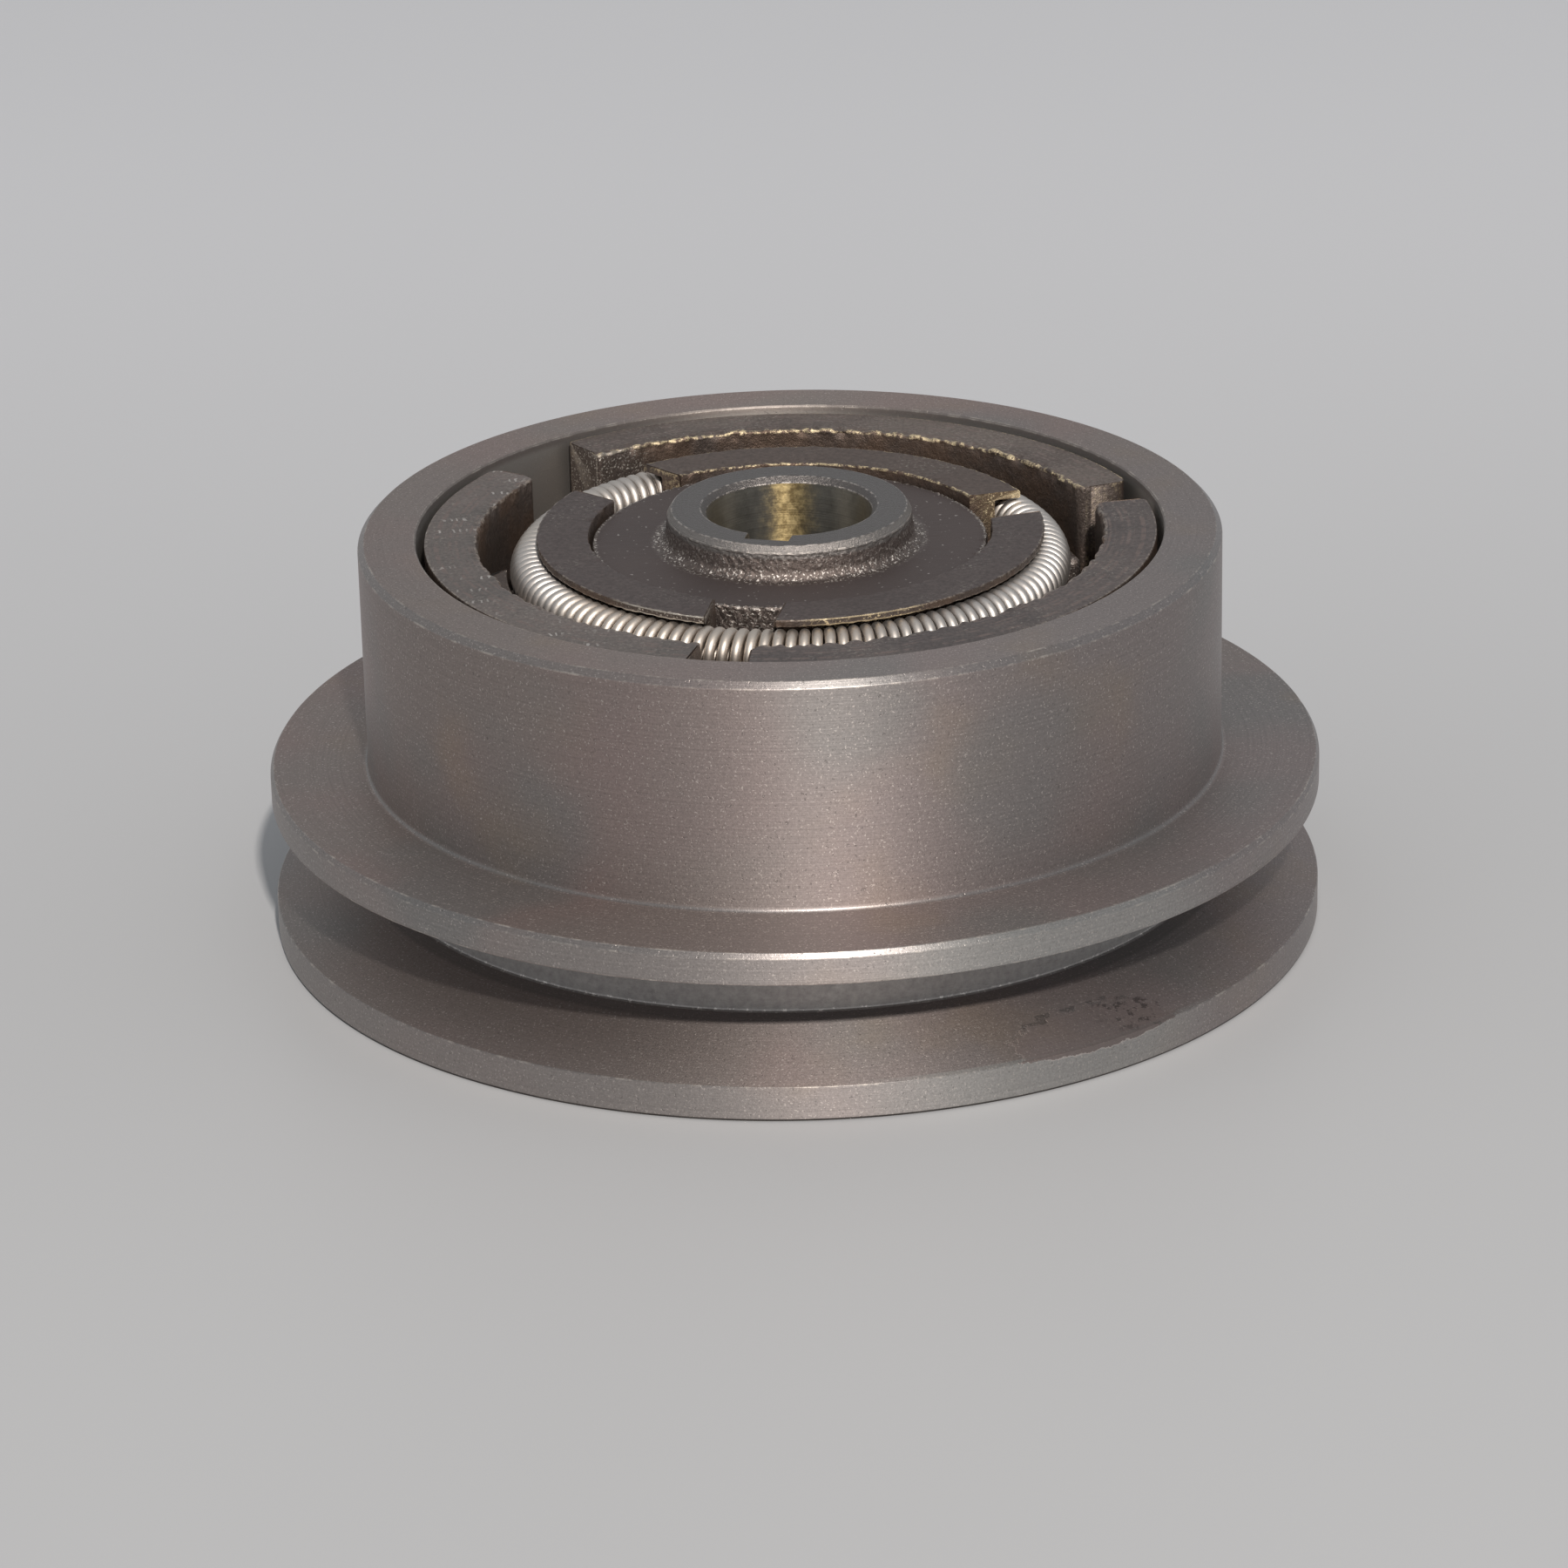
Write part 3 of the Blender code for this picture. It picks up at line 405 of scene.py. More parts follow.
def keyway_radius(angles):
    """Radius of the slot's outline: its floor KEY_FLOOR / cos a, or its side KEY_HALF / |sin a|."""
    a = from_keyway(angles)
    side = KEY_HALF / np.maximum(np.sin(np.minimum(a, 1.5)), 1e-6)
    floor = KEY_FLOOR / np.cos(np.minimum(a, 1.5))
    return np.where(a < 0.4, np.minimum(side, floor), 0.0)


def hub_roughness(points, flat):
    """Casting skin on the boss's side and the disc's edge, and a faint unevenness on the disc."""
    radius, height = flat.T
    upper = height > SPIDER_TOP - 0.1
    root = upper & (height < BOSS_TOP - 1.0) & (radius > BOSS - 0.3) & (radius < BOSS + 1.2)
    edge = (radius > SPIDER - 0.5) & (height > SPIDER_LOW)
    disc = upper & (radius > BOSS + 1.0)
    tall = 0.030 * root + 0.05 * edge + 0.012 * disc
    return tall * lumps(points, 0.65, 11) - 0.08 * edge


def turned_hub(angles):
    """The turned shell, with the bore's points moved out to the keyway where it is deeper."""
    flat, worn = outline(hub_corners, 2.5)
    hub = turned((flat, worn), angles, hub_roughness)
    grid = hub["points"].reshape(len(angles), len(flat), 3)
    radius = np.hypot(grid[..., 0], grid[..., 1])
    bore = flat[None, :, 0] < KEY_FLOOR + 0.4
    deeper = np.where(bore, np.maximum(radius, keyway_radius(angles)[:, None]), radius)
    grid[..., :2] *= (deeper / radius)[..., None]
    hub["points"] = grid.reshape(-1, 3)
    return hub


def arm(angle):
    """A driving arm: a rounded upright rectangle carried outward and drawn in at its end."""
    bottom, corner, rows, narrower = SPIDER_LOW + 0.4, 0.9, 24, 0.85
    section, worn = outline([(-ARM_HALF, bottom, corner), (ARM_HALF, bottom, corner),
                             (ARM_HALF, ARM_TOP, corner), (-ARM_HALF, ARM_TOP, corner)], 0.8)
    end = np.linspace(0.2, 0.5 * math.pi, 5)
    reach = np.concatenate([np.linspace(SHOULDER, ARM_REACH - corner, rows),
                            ARM_REACH - corner * (1 - np.sin(end))])
    draw = np.concatenate([np.zeros(rows), narrower * (1 - np.cos(end))])
    flat = section[None] + draw[:, None, None] * inward(section)[None]
    forward = np.array([math.cos(angle), math.sin(angle), 0.0])
    across = np.array([-math.sin(angle), math.cos(angle), 0.0])
    up = np.array([0.0, 0.0, 1.0])
    points = reach[:, None, None] * forward + flat[..., :1] * across + flat[..., 1:] * up
    return shell(points, np.broadcast_to(worn, points.shape[:2]), False)


SLOT_REACH = 0.30
slot_turns = math.radians(KEY_ANGLE) + np.linspace(-SLOT_REACH, SLOT_REACH, 61)
even_turns = np.linspace(0.0, TURN, 360, endpoint=False)
away = from_keyway(even_turns) > SLOT_REACH + 0.01
hub_angles = np.sort(np.concatenate([slot_turns % TURN, even_turns[away]]))
hub_shells = [turned_hub(hub_angles)] + [arm(math.radians(a)) for a in ARM_ANGLES]
hub = make_piece("hub_casting", hub_shells, "hub", ["driver_hub"])

# %% [markdown]
# ## The shoes
#
# Each shoe is a casting of three shapes in one: an outer wall that grips the drum, an inner rim
# shaped like a C that holds the spring under its lip, and a web that joins them below the spring.
# The three shapes are made as sectors that run into each other, because that is how a pattern
# maker builds them. The rim's ends follow the driving slots, so their angle depends on the radius.

# %% Shoes
wall_corners = [
    (SHOE_INNER, SHOE_TOP, 0.45, 0.6), (SHOE_FACE, SHOE_TOP, 0.20), (SHOE_FACE, SHOE_LOW, 0.45),
    (SHOE_INNER, SHOE_LOW, 0.45, 0.5),
]
rim_corners = [
    (RIM_INNER, LIP_TOP, 0.25), (LIP, LIP_TOP, 0.16), (LIP, LIP_LOW, 0.16), (NECK, LIP_LOW, 0.35),
    (NECK, CHANNEL_FLOOR, 0.5), (RIM_FOOT, CHANNEL_FLOOR, 0.3), (RIM_FOOT, SHOE_LOW, 0.4),
    (RIM_INNER, SHOE_LOW, 0.4),
]
WEB_INNER, WEB_OUTER, WEB_LOW = 30.0, 41.5, SHOE_LOW + 1.5
web_corners = [
    (WEB_INNER, WEB_LOW, 0.3), (WEB_OUTER, WEB_LOW, 0.3), (WEB_OUTER, LEDGE, 0.1),
    (CHANNEL, LEDGE, 0.25), (CHANNEL, CHANNEL_FLOOR, 0.3), (WEB_INNER, CHANNEL_FLOOR, 0.3),
]


def wall_end(radius):
    """The wall ends on a line through the hub's centre."""
    return np.full_like(radius, WALL_END)


def rim_end(radius):
    """The slot's side lies SLOT_HALF from a line at SLOT_ANGLE through the hub's centre."""
    return SLOT_ANGLE - np.arcsin((SLOT_HALF + TRAVEL * math.sin(SLOT_ANGLE)) / radius)


def web_end(radius):
    """The web's half width narrows in a straight line from the rim to the wall, as an angle."""
    wide = np.interp(radius, WEB_RADII, WEB_HALF_WIDTHS)
    return np.arcsin(wide / np.maximum(radius, WEB_INNER))


def wall_roughness(seed):
    """Casting skin on the inner side and a nibbled inner top edge; top and face are flat."""
    def rough(points, flat):
        skin = flat[:, 0] < SHOE_INNER + 0.6
        nibbled = skin & (flat[:, 1] > SHOE_TOP - 0.9)
        tall = 0.018 * skin + 0.085 * nibbled
        return tall * lumps(points, 1.7, seed) - 0.08 * nibbled
    return rough


def rim_roughness(seed):
    """A nibbled inner edge on the rim's top, and a faint unevenness on the lip."""
    def rough(points, flat):
        edge = (flat[:, 0] < RIM_INNER + 0.5) & (flat[:, 1] > LIP_TOP - 0.8)
        lip = (flat[:, 0] > LIP - 0.3) & (flat[:, 1] > LIP_LOW - 0.1)
        return (0.05 * edge + 0.03 * lip) * lumps(points, 1.3, seed) - 0.04 * edge
    return rough


def place_shoe(part, middle):
    """Turn a sector from its own middle direction, and move it in by the shoe's travel."""
    c, s = math.cos(middle), math.sin(middle)
    x, y, z = part["points"].T
    part["points"] = np.stack([c * x - s * y - TRAVEL * c, s * x + c * y - TRAVEL * s, z], 1)
    return part


def make_shoe(name, middle, seed):
    """Wall, rim and web of one shoe, each with its own unevenness."""
    wall = sector(outline(wall_corners, 1.2), lambda r: -wall_end(r), wall_end, 300,
                  tips=(1.4, 0.7), roughness=wall_roughness(seed))
    rim = sector(outline(rim_corners, 0.7), lambda r: -rim_end(r), rim_end, 200,
                 roughness=rim_roughness(seed + 1))
    web = sector(outline(web_corners, 0.9), lambda r: -web_end(r), web_end, 60, edge=0.3)
    shells = [place_shoe(part, math.radians(middle)) for part in (wall, rim, web)]
    return make_piece(name + "_casting", shells, name, [name])


shoes = {}
for number, (name, middle) in enumerate(SHOE_MIDDLES.items()):
    shoes[name] = make_shoe(name, middle, 20 + 5 * number)

# %% [markdown]
# ## The garter spring
#
# One long coil spring is hooked into a ring and lies in the shoes' channel. It could be a tube
# with a bump pattern, but the gaps between the coils show from every side, so the wire is really
# wound: its centre goes round a small circle 132 times while that circle goes once round the axis.
# When the shoes move out they carry the spring with them. Here the spring is made in three
# thirds, each named after a shoe and running from one arm's angle to the next.

# %% Garter spring
WINDING, BLEND_START, BLEND_END = COIL - WIRE, 0.766, 0.53


def spring_third(first, last, per_coil=26, sides=12):
    """Wire as a tube: centre = (R + w cos p, at angle f, height w sin p) with p = 132 f + a
    quarter turn; the tube's ring lies between the coil's own outward normal and its cross with the
    tangent."""
    count = COILS // 3 * per_coil + 1
    f = np.linspace(first, last, count)
    p = COILS * f + 0.5 * math.pi
    out = np.stack([np.cos(f), np.sin(f), 0 * f], 1)
    along = np.stack([-np.sin(f), np.cos(f), 0 * f], 1)
    up = np.array([0.0, 0.0, 1.0])
    normal = np.cos(p)[:, None] * out + np.sin(p)[:, None] * up
    centre = RING * out + WINDING * normal + SPRING_Z * up
    wind = -np.sin(p)[:, None] * out + np.cos(p)[:, None] * up
    tangent = (RING + WINDING * np.cos(p))[:, None] * along + COILS * WINDING * wind
    tangent /= np.linalg.norm(tangent, axis=1)[:, None]
    side = np.cross(tangent, normal)
    b = np.linspace(0.0, TURN, sides, endpoint=False)[None, :, None]
    points = centre[:, None] + WIRE * (np.cos(b) * normal[:, None] + np.sin(b) * side[:, None])
    return shell(points, np.zeros(points.shape[:2]), False)


springs = []
for name, first in zip(SHOE_MIDDLES, ARM_ANGLES):
    start, stop = math.radians(first), math.radians(first + 120.0)
    third = make_piece("garter_spring_by_" + name, [spring_third(start, stop)], None,
                       ["garter_spring"], smooth=80.0)
    middle = Vector((math.cos(0.5 * (start + stop)), math.sin(0.5 * (start + stop)), 0.0))
    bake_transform(third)
    springs.append(third)

# %% [markdown]
# ## The underside: bearing and retaining rings
#
# Two sealed ball bearings carry the drum on the hub's sleeve. Only the lower one can be seen, from
# below, with its rubber seal, and two spring-steel rings keep everything in place. The races
# and the seal are turned again with finer steps. The retaining rings are flat, so each is an
# outline with two holes, filled with triangles and given its thickness by a modifier.

# %% Lower bearing
SLIGHT_CUT, FITTED_CUT = 0.15, 0.6
race_turns = np.linspace(0.0, TURN, 240, endpoint=False)


def race(radii, cuts):
    """A plain race as a turned shell: the cut is larger on the side that is pressed on."""
    (inner, outer), (inner_cut, outer_cut) = radii, cuts
    low, high = BEARING_LOW, BEARING_LOW + BEARING_WIDTH
    corners = [(inner, low, inner_cut), (outer, low, outer_cut),
               (outer, high, outer_cut), (inner, high, inner_cut)]
    return turned(outline(corners, 1.5), race_turns)


outer_race = make_piece("lower_outer_race", [race(OUTER_RACE, (SLIGHT_CUT, FITTED_CUT))],
                        "drum", ["lower_bearing_outer_race"])
inner_race = make_piece("lower_inner_race", [race(INNER_RACE, (FITTED_CUT, SLIGHT_CUT))],
                        "hub", ["lower_bearing_inner_race"])
SEAL_LOW = BEARING_LOW + 0.4
seal_corners = [(radius, SEAL_LOW + up, cut) for radius, up, cut in (
    (18.9, 0.1, 0.1), (19.7, 0.0, 0.15), (19.95, 0.25, 0.1), (20.3, 0.25, 0.1), (20.55, 0.0, 0.15),
    (22.9, 0.0, 0.2), (23.1, 0.2, 0.1), (24.0, 0.2, 0.1), (24.0, 0.8, 0.1), (18.9, 0.8, 0.1))]
seal = make_piece("lower_seal_disc", [turned(outline(seal_corners, 0.5), race_turns)],
                  "drum", ["lower_bearing_bottom_seal"])

# %% Retaining rings
EAR, PLIER_HOLE, HALF_OPENING = 2.1, 0.8, 4.0


def circle(radius, start, stop, steps, centre=(0.0, 0.0)):
    """Points along an arc."""
    a = np.linspace(start, stop, steps)
    return np.stack([centre[0] + radius * np.cos(a), centre[1] + radius * np.sin(a)], 1)


def ring_outline(seat, width, side):
    """The ring's edge and its two holes: an arc at the seated edge, an arc at the free edge, and
    two ears for the pliers; side is 1 where the ears stand outward, -1 where they stand inward."""
    free, opening = seat + side * width, HALF_OPENING / seat
    ear_radius, tip = free + side * 0.2, free + side * EAR
    ear, shoulder = opening + 1.9 / ear_radius, opening + 3.8 / ear_radius
    rim = np.concatenate([
        circle(seat, opening, TURN - opening, 180),
        circle(tip, TURN - opening - 0.01, TURN - ear, 8),
        circle(free, TURN - shoulder, shoulder, 170), circle(tip, ear, opening + 0.01, 8)])
    hole = ear - 0.38 / ear_radius
    x, y = ear_radius * math.cos(hole), ear_radius * math.sin(hole)
    return [rim, *[circle(PLIER_HOLE, 0.0, TURN, 25, (x, side_y))[:-1] for side_y in (y, -y)]]


def retaining_ring(name, seat, width, side, low, high, body, node):
    """An open flat ring, filled with triangles that face up and made thick by a modifier."""
    loops = ring_outline(seat, width, side)
    triangles = np.array(tessellate_polygon(
        [[Vector((x, y, 0.0)) for x, y in loop] for loop in loops]))
    flat = np.concatenate(loops)
    a, b, c = (flat[triangles[:, k]] for k in range(3))
    clockwise = (b - a)[:, 0] * (c - a)[:, 1] - (b - a)[:, 1] * (c - a)[:, 0] < 0
    triangles[clockwise] = triangles[clockwise][:, ::-1]
    mesh = bpy.data.meshes.new(name)
    points = np.column_stack([flat, np.full(len(flat), low)]) * MM
    mesh.from_pydata(points, [], triangles.tolist())
    piece = put(name, mesh)
    thickness = piece.modifiers.new("Thickness", "SOLIDIFY")
    thickness.thickness = (high - low) * MM
    thickness.offset = 1.0
    edge = piece.modifiers.new("Stamped edge", "BEVEL")
    edge.width = 0.12 * MM
    edge.segments = 2
    edge.angle_limit = math.radians(50.0)
    declare(piece, body, [node])
    print(name, "has", len(triangles), "flat faces")
    return piece


pocket_ring = retaining_ring("pocket_retaining_ring", POCKET_SEAT - 0.3, 3.4, -1, 1.6, 3.6, "drum",
                             "bearing_circlip")
sleeve_ring = retaining_ring("sleeve_retaining_ring", SLEEVE_SEAT + 0.3, 2.9, 1, 2.1, 3.6, "hub",
                             "sleeve_circlip")

# %% [markdown]
# ## A short way to write shader nodes
#
# A finish is a small graph of nodes, and most of its nodes do plain sums. The class below has a
# word for each sum, so that a graph reads like a formula: the values go in as numbers, colours or
# other nodes' results, and the result comes out.

# %% Sums as nodes


class Graph:
    """A material's nodes, added by name and fed in order."""

    def __init__(self, name):
        self.material = bpy.data.materials.new(name)
        self.material.use_nodes = True
        self.nodes, self.links = self.material.node_tree.nodes, self.material.node_tree.links
        self.shader = self.nodes["Principled BSDF"]

    def feed(self, socket, value):
        """Link an input, or set it to a number or a tuple. None leaves it alone."""
        if isinstance(value, bpy.types.NodeSocket):
            self.links.new(value, socket)
        elif value is not None:
            socket.default_value = (*value, 1.0) if socket.type == "RGBA" else value

    def add(self, kind, *inputs, out=0, **settings):
        """Add a node, set its options, and feed its inputs in order."""
        node = self.nodes.new("ShaderNode" + kind)
        for option, value in settings.items():
            setattr(node, option, value)
        for socket, value in zip(node.inputs, inputs):
            self.feed(socket, value)
        return node.outputs[out]

    def calc(self, operation, *values):
        return self.add("Math", *values, operation=operation)

    def times(self, total, *others):
        """The product of all the values."""
        for value in others:
            total = self.calc("MULTIPLY", total, value)
        return total

    def plus(self, total, *others):
        """The sum of all the values."""
        for value in others:
            total = self.calc("ADD", total, value)
        return total

    def larger(self, first, second):
        return self.calc("MAXIMUM", first, second)

    def rest(self, share):
        """What a share leaves of 1."""
        return self.calc("SUBTRACT", 1.0, share)

    def vector(self, operation, *values, out=0):
        return self.add("VectorMath", *values, operation=operation, out=out)

    def length(self, vector):
        return self.vector("LENGTH", vector, out=1)

    def split(self, vector):
        return self.add("SeparateXYZ", vector).node.outputs

    def step(self, value, low, high):
        """Smooth step: 0 below low, 1 above high. A larger low makes the step fall."""
        return self.add("MapRange", value, low, high, 0.0, 1.0, interpolation_type="SMOOTHSTEP")

    def mix(self, share, first, second):
        """Colour or value between first and second: tuples are colours, numbers are values."""
        node = self.nodes.new("ShaderNodeMix")
        colour = any(isinstance(v, tuple) or getattr(v, "type", "") == "RGBA"
                     for v in (first, second))
        node.data_type = "RGBA" if colour else "FLOAT"
        inputs, out = ((0, 6, 7), 2) if colour else ((0, 2, 3), 0)
        for index, value in zip(inputs, (share, first, second)):
            self.feed(node.inputs[index], value)
        return node.outputs[out]


# %% [markdown]
# ## Patterns, paint and shine
#
# Every pattern is made from a place on the part: the position itself, the radius and height in mm,
# or the way across a turned face. Colours are laid over each other like paint, each as thick as
# its patterns allow. The last step connects colour, roughness and relief to the shader.

# %% Patterns and paint


class Finish(Graph):
    """A graph with the places that patterns read. Across is height minus radius."""

    def __init__(self, name):
        super().__init__(name)
        self.place = self.nodes.new("ShaderNodeTexCoord").outputs["Object"]
        self.x, self.y, z = self.split(self.place)
        flat = self.add("CombineXYZ", self.x, self.y, 0.0)
        self.radius = self.calc("DIVIDE", self.length(flat), MM)
        self.height = self.calc("DIVIDE", z, MM)
        self.across = self.calc("SUBTRACT", self.height, self.radius)

    def noise(self, per_mm, detail=2.0, rough=0.5, out=0):
        """Noise in space, with so many lumps per millimetre."""
        return self.add("TexNoise", self.place, None, per_mm / MM, detail, rough, out=out)

    def bands(self, along, per_mm, detail=2.0, rough=0.5):
        """Noise along one value in mm, such as the rings on a turned face."""
        return self.add("TexNoise", None, along, per_mm, detail, rough, noise_dimensions="1D")

    def spots(self, per_mm, low, high, detail=2.0, rough=0.5):
        """Noise as patches with soft borders: 0 where it is below low, 1 where it is above high."""
        return self.step(self.noise(per_mm, detail, rough), low, high)

    def near(self, point, reach):
        """1 at a point given in mm, falling to 0 at the reach from it."""
        gap = self.vector("SUBTRACT", self.place, tuple(value * MM for value in point))
        return self.step(self.length(gap), reach * MM, 0.5 * reach * MM)

    def stored(self, name):
        """A number kept on the mesh's points."""
        return self.add("Attribute", attribute_name=name, out=2)

    def edge_wear_and_highlight(self, *spots):
        """Outward corners, where some spots let them through: wear and painted edge highlights."""
        return self.times(self.stored("worn"), self.spots(*spots))

    def paint(self, colour, *layers):
        """Paints laid over a colour in turn, each as thick as the product of its shares."""
        for paint, *shares in layers:
            colour = self.mix(self.times(*shares), colour, paint)
        return colour

    def shaded(self, colour, shade):
        """A colour made lighter or darker by a factor."""
        return self.vector("MULTIPLY", colour, shade)

    def done(self, colour, roughness, metallic, bumps, depth, stretch=0.0):
        """Connect the results. The bumps' full range stands for a depth in mm. Stretch is a
        constant on the shader, and draws highlights out across the turning marks."""
        bump = self.nodes.new("ShaderNodeBump")
        self.feed(bump.inputs["Distance"], depth * MM)
        self.feed(bump.inputs["Height"], bumps)
        results = {"Base Color": colour, "Roughness": roughness, "Metallic": metallic,
                   "Normal": bump.outputs["Normal"]}
        if stretch:
            tangent = self.add("Tangent", direction_type="RADIAL", axis="Z")
            results |= {"Anisotropic": stretch, "Anisotropic Rotation": 0.25, "Tangent": tangent}
        for name, value in results.items():
            self.feed(self.shader.inputs[name], value)
        return self.material


def give(piece, *materials):
    """Replace a piece's materials. Where there are several, each face's index chooses."""
    piece.data.materials.clear()
    for material in materials:
        piece.data.materials.append(material)


def face_rows(piece, name):
    """The faces' normals or centres as rows of x, y and z."""
    values = np.zeros(3 * len(piece.data.polygons))
    piece.data.polygons.foreach_get(name, values)
    return values.reshape(-1, 3)


# %% [markdown]
# ## Turned grey iron
#
# A lathe leaves fine rings on every face. Their pattern needs one number that changes across each
# face and not along the cut: height minus radius does that on cylinders, flats and slopes alike.
# Over the rings lie grains of graphite, with pale specks painted on them as glints, and broad
# patches where the iron has toned from grey to rose, straw and green, with three stains at the
# front.
# Painted shadow darkens the groove's flanks near their root, where the upper rim shades them, and
# the shaded core is painted pale as light bounced into it, with painted glints along its lower
# edge.
# Edges are painted paler, partly as wear, because they rub, and partly as painted highlights. The
# two rims are cut last, so they are the palest, and a painted highlight makes them paler still at
# the front right. The drum's bore is painted lighter as light reaching into the drum, with painted
# shade in its top band, and a painted shadow line runs round the rim's foot. One recipe with a
# tone, a roughness and a stretch for each kind of face serves the whole casting.

# %% Turned iron finish
WARM_IRON = ((0.288, 0.246, 0.228), (0.306, 0.244, 0.227))
PALE_IRON = ((0.290, 0.264, 0.252), (0.302, 0.264, 0.250))
STAINS = (((26.5, -44.5, 35.0), 13.0, 0.5, (0.240, 0.238, 0.232)),
          ((36.0, -38.0, 30.0), 11.0, 0.3, (0.300, 0.236, 0.220)),
          ((-12.0, -51.0, 40.0), 16.0, 0.4, (0.300, 0.236, 0.226)))
RIM_RADII = (FLANGE - 0.8, FLANGE - 0.5)
COOL_SIDE, RIM_HIGHLIGHT_PLACE, FLAW_PLACE = (46.0, -36.0, 25.0), (30.0, -56.5, 12.0), (38.5, -45.0, 6.0)


def toned_iron(f, base):
    """Broad heat tints, then the stains, then a painted highlight that makes the rims paler at the
    front right.
    """
    return f.paint(
        f.mix(f.spots(0.028, 0.42, 0.60), *base),
        ((0.282, 0.256, 0.256), f.near(COOL_SIDE, 80.0), 0.5),
        ((0.236, 0.236, 0.230), f.spots(0.035, 0.52, 0.70, 2.0, 0.4), 0.6),
        ((0.340, 0.266, 0.198), f.spots(0.05, 0.55, 0.75, 3.0), 0.35),
        *[(stain, f.near(point, reach), share) for point, reach, share, stain in STAINS],
        # painted highlight: the rims' faces are painted paler near their front right
        ((0.350, 0.342, 0.330), f.near(RIM_HIGHLIGHT_PLACE, 28.0), f.step(f.radius, *RIM_RADII), 0.8))


def groove_and_bore(f, colour):
    """The groove's root with painted shadow, its core with painted light and glints, and the drum's
    bore with painted light and shade.
    """
    groove = f.times(f.step(f.height, 15.0, 14.0), f.step(f.height, 2.0, 3.0),
                     f.step(f.radius, 50.0, 50.5))
    # painted shadow: root marks the flanks near the groove's root, darkened where the upper rim
    # shades them
    root = f.step(f.radius, GROOVE_CORE + 2.4, GROOVE_CORE + 1.6)
    core = f.times(f.step(f.radius, GROOVE_CORE + 0.4, GROOVE_CORE + 0.15), groove)
    # painted light: the groove's shaded core is painted pale and mottled, as light bounced into the
    # shade
    painted_core_light = f.shaded((0.43, 0.415, 0.405), f.mix(f.noise(1.1, 4.0, 0.75), 0.5, 1.5))
    # painted glints: bright specks along the lower edge of the core
    core_edge_glints = f.times(f.spots(1.6, 0.56, 0.66, 3.0, 0.7), core, f.step(f.height, 8.65, 8.45))
    bore = f.times(f.step(f.radius, DRUM_BORE + 0.25, DRUM_BORE + 0.1),
                   f.step(f.height, CAVITY_FLOOR - 0.7, CAVITY_FLOOR + 0.3))
    # painted light and shade: the drum's bore is painted lighter below, as light reaching into the
    # drum, and darker in its top band, as shade in the gap beside the shoes
    bore_light_and_gap_shade = f.mix(f.step(f.height, 47.6, 48.4), (0.40, 0.38, 0.355), (0.26, 0.232, 0.216))
    return f.paint(colour, ((0.13, 0.12, 0.12), root, groove, 0.45), (painted_core_light, core, 0.85),
                   ((0.85, 0.82, 0.78), core_edge_glints, 0.8), (bore_light_and_gap_shade, bore, 0.8))


def casting_skin(f, colour):
    """The missed patch with its pocks, and the bright burr where the tool left it.
    Returns the colour and where the patch is."""
    ragged = f.plus(f.stored("flaw"), f.times(f.noise(0.55, 5.0, 0.65), 1.4))
    flaw = f.step(ragged, 0.80, 0.92)
    pocks = f.times(f.spots(0.8, 0.52, 0.60, 4.0, 0.7), f.near(FLAW_PLACE, 8.0))
    skin = f.mix(pocks, (0.200, 0.155, 0.146), (0.075, 0.062, 0.060))
    thick = f.mix(f.larger(pocks, f.step(f.height, 4.6, 4.3)), 0.4, 0.75)
    burr = f.times(f.step(ragged, 0.68, 0.80), f.rest(flaw), f.step(f.height, 4.1, 3.9))
    return f.paint(colour, (skin, flaw, thick), ((0.62, 0.55, 0.52), burr, 0.6)), flaw


def turned_iron(name, stretch, low_rough, tone=1.0, edge_share=0.6, base=WARM_IRON):
    """Rings and grain on the toned iron with painted glints, then the groove, the edges' wear and
    painted highlights, the flaw and the painted shadow at the foot.
    """
    f = Finish(name)
    rings, grain = f.bands(f.across, 3.2, 3.0, 0.6), f.noise(3.6, 3.0, 0.75)
    speck = f.spots(2.3, 0.68, 0.76, 1.0)
    shade = f.times(f.mix(rings, 0.85 * tone, 1.15 * tone), f.mix(grain, 0.62, 1.38))
    colour = f.paint(f.shaded(toned_iron(f, base), shade), ((0.07, 0.062, 0.06), speck, 0.3),
                     # painted glints: pale specks scattered over the grain
                     ((0.66, 0.60, 0.56), f.spots(3.9, 0.63, 0.72, 1.0), 0.5))
    # wear and painted highlight: outward corners are painted paler
    edge_wear_and_highlight = f.edge_wear_and_highlight(0.5, 0.45, 0.70, 4.0, 0.7)
    colour = f.paint(groove_and_bore(f, colour), ((0.62, 0.56, 0.50), edge_wear_and_highlight, edge_share))
    colour, flaw = casting_skin(f, colour)
    # painted shadow: a dark line round the rim's foot, where it meets the table
    painted_foot_shadow = f.times(f.step(f.height, 0.45, 0.30), f.step(f.radius, *RIM_RADII))
    colour = f.paint(colour, ((0.050, 0.042, 0.040), painted_foot_shadow, 0.9))
    roughness = f.mix(flaw, f.mix(grain, low_rough, low_rough + 0.14), 0.62)
    marks = f.plus(f.times(rings, 0.5), f.times(f.bands(f.across, 11.0, 1.0), 0.25))
    pits = f.plus(f.times(grain, 0.45), f.times(speck, -0.5))
    bumps = f.plus(marks, pits, f.times(f.noise(1.2, 3.0), flaw, 1.5))
    return f.done(colour, roughness, 0.9, bumps, 0.030, stretch)


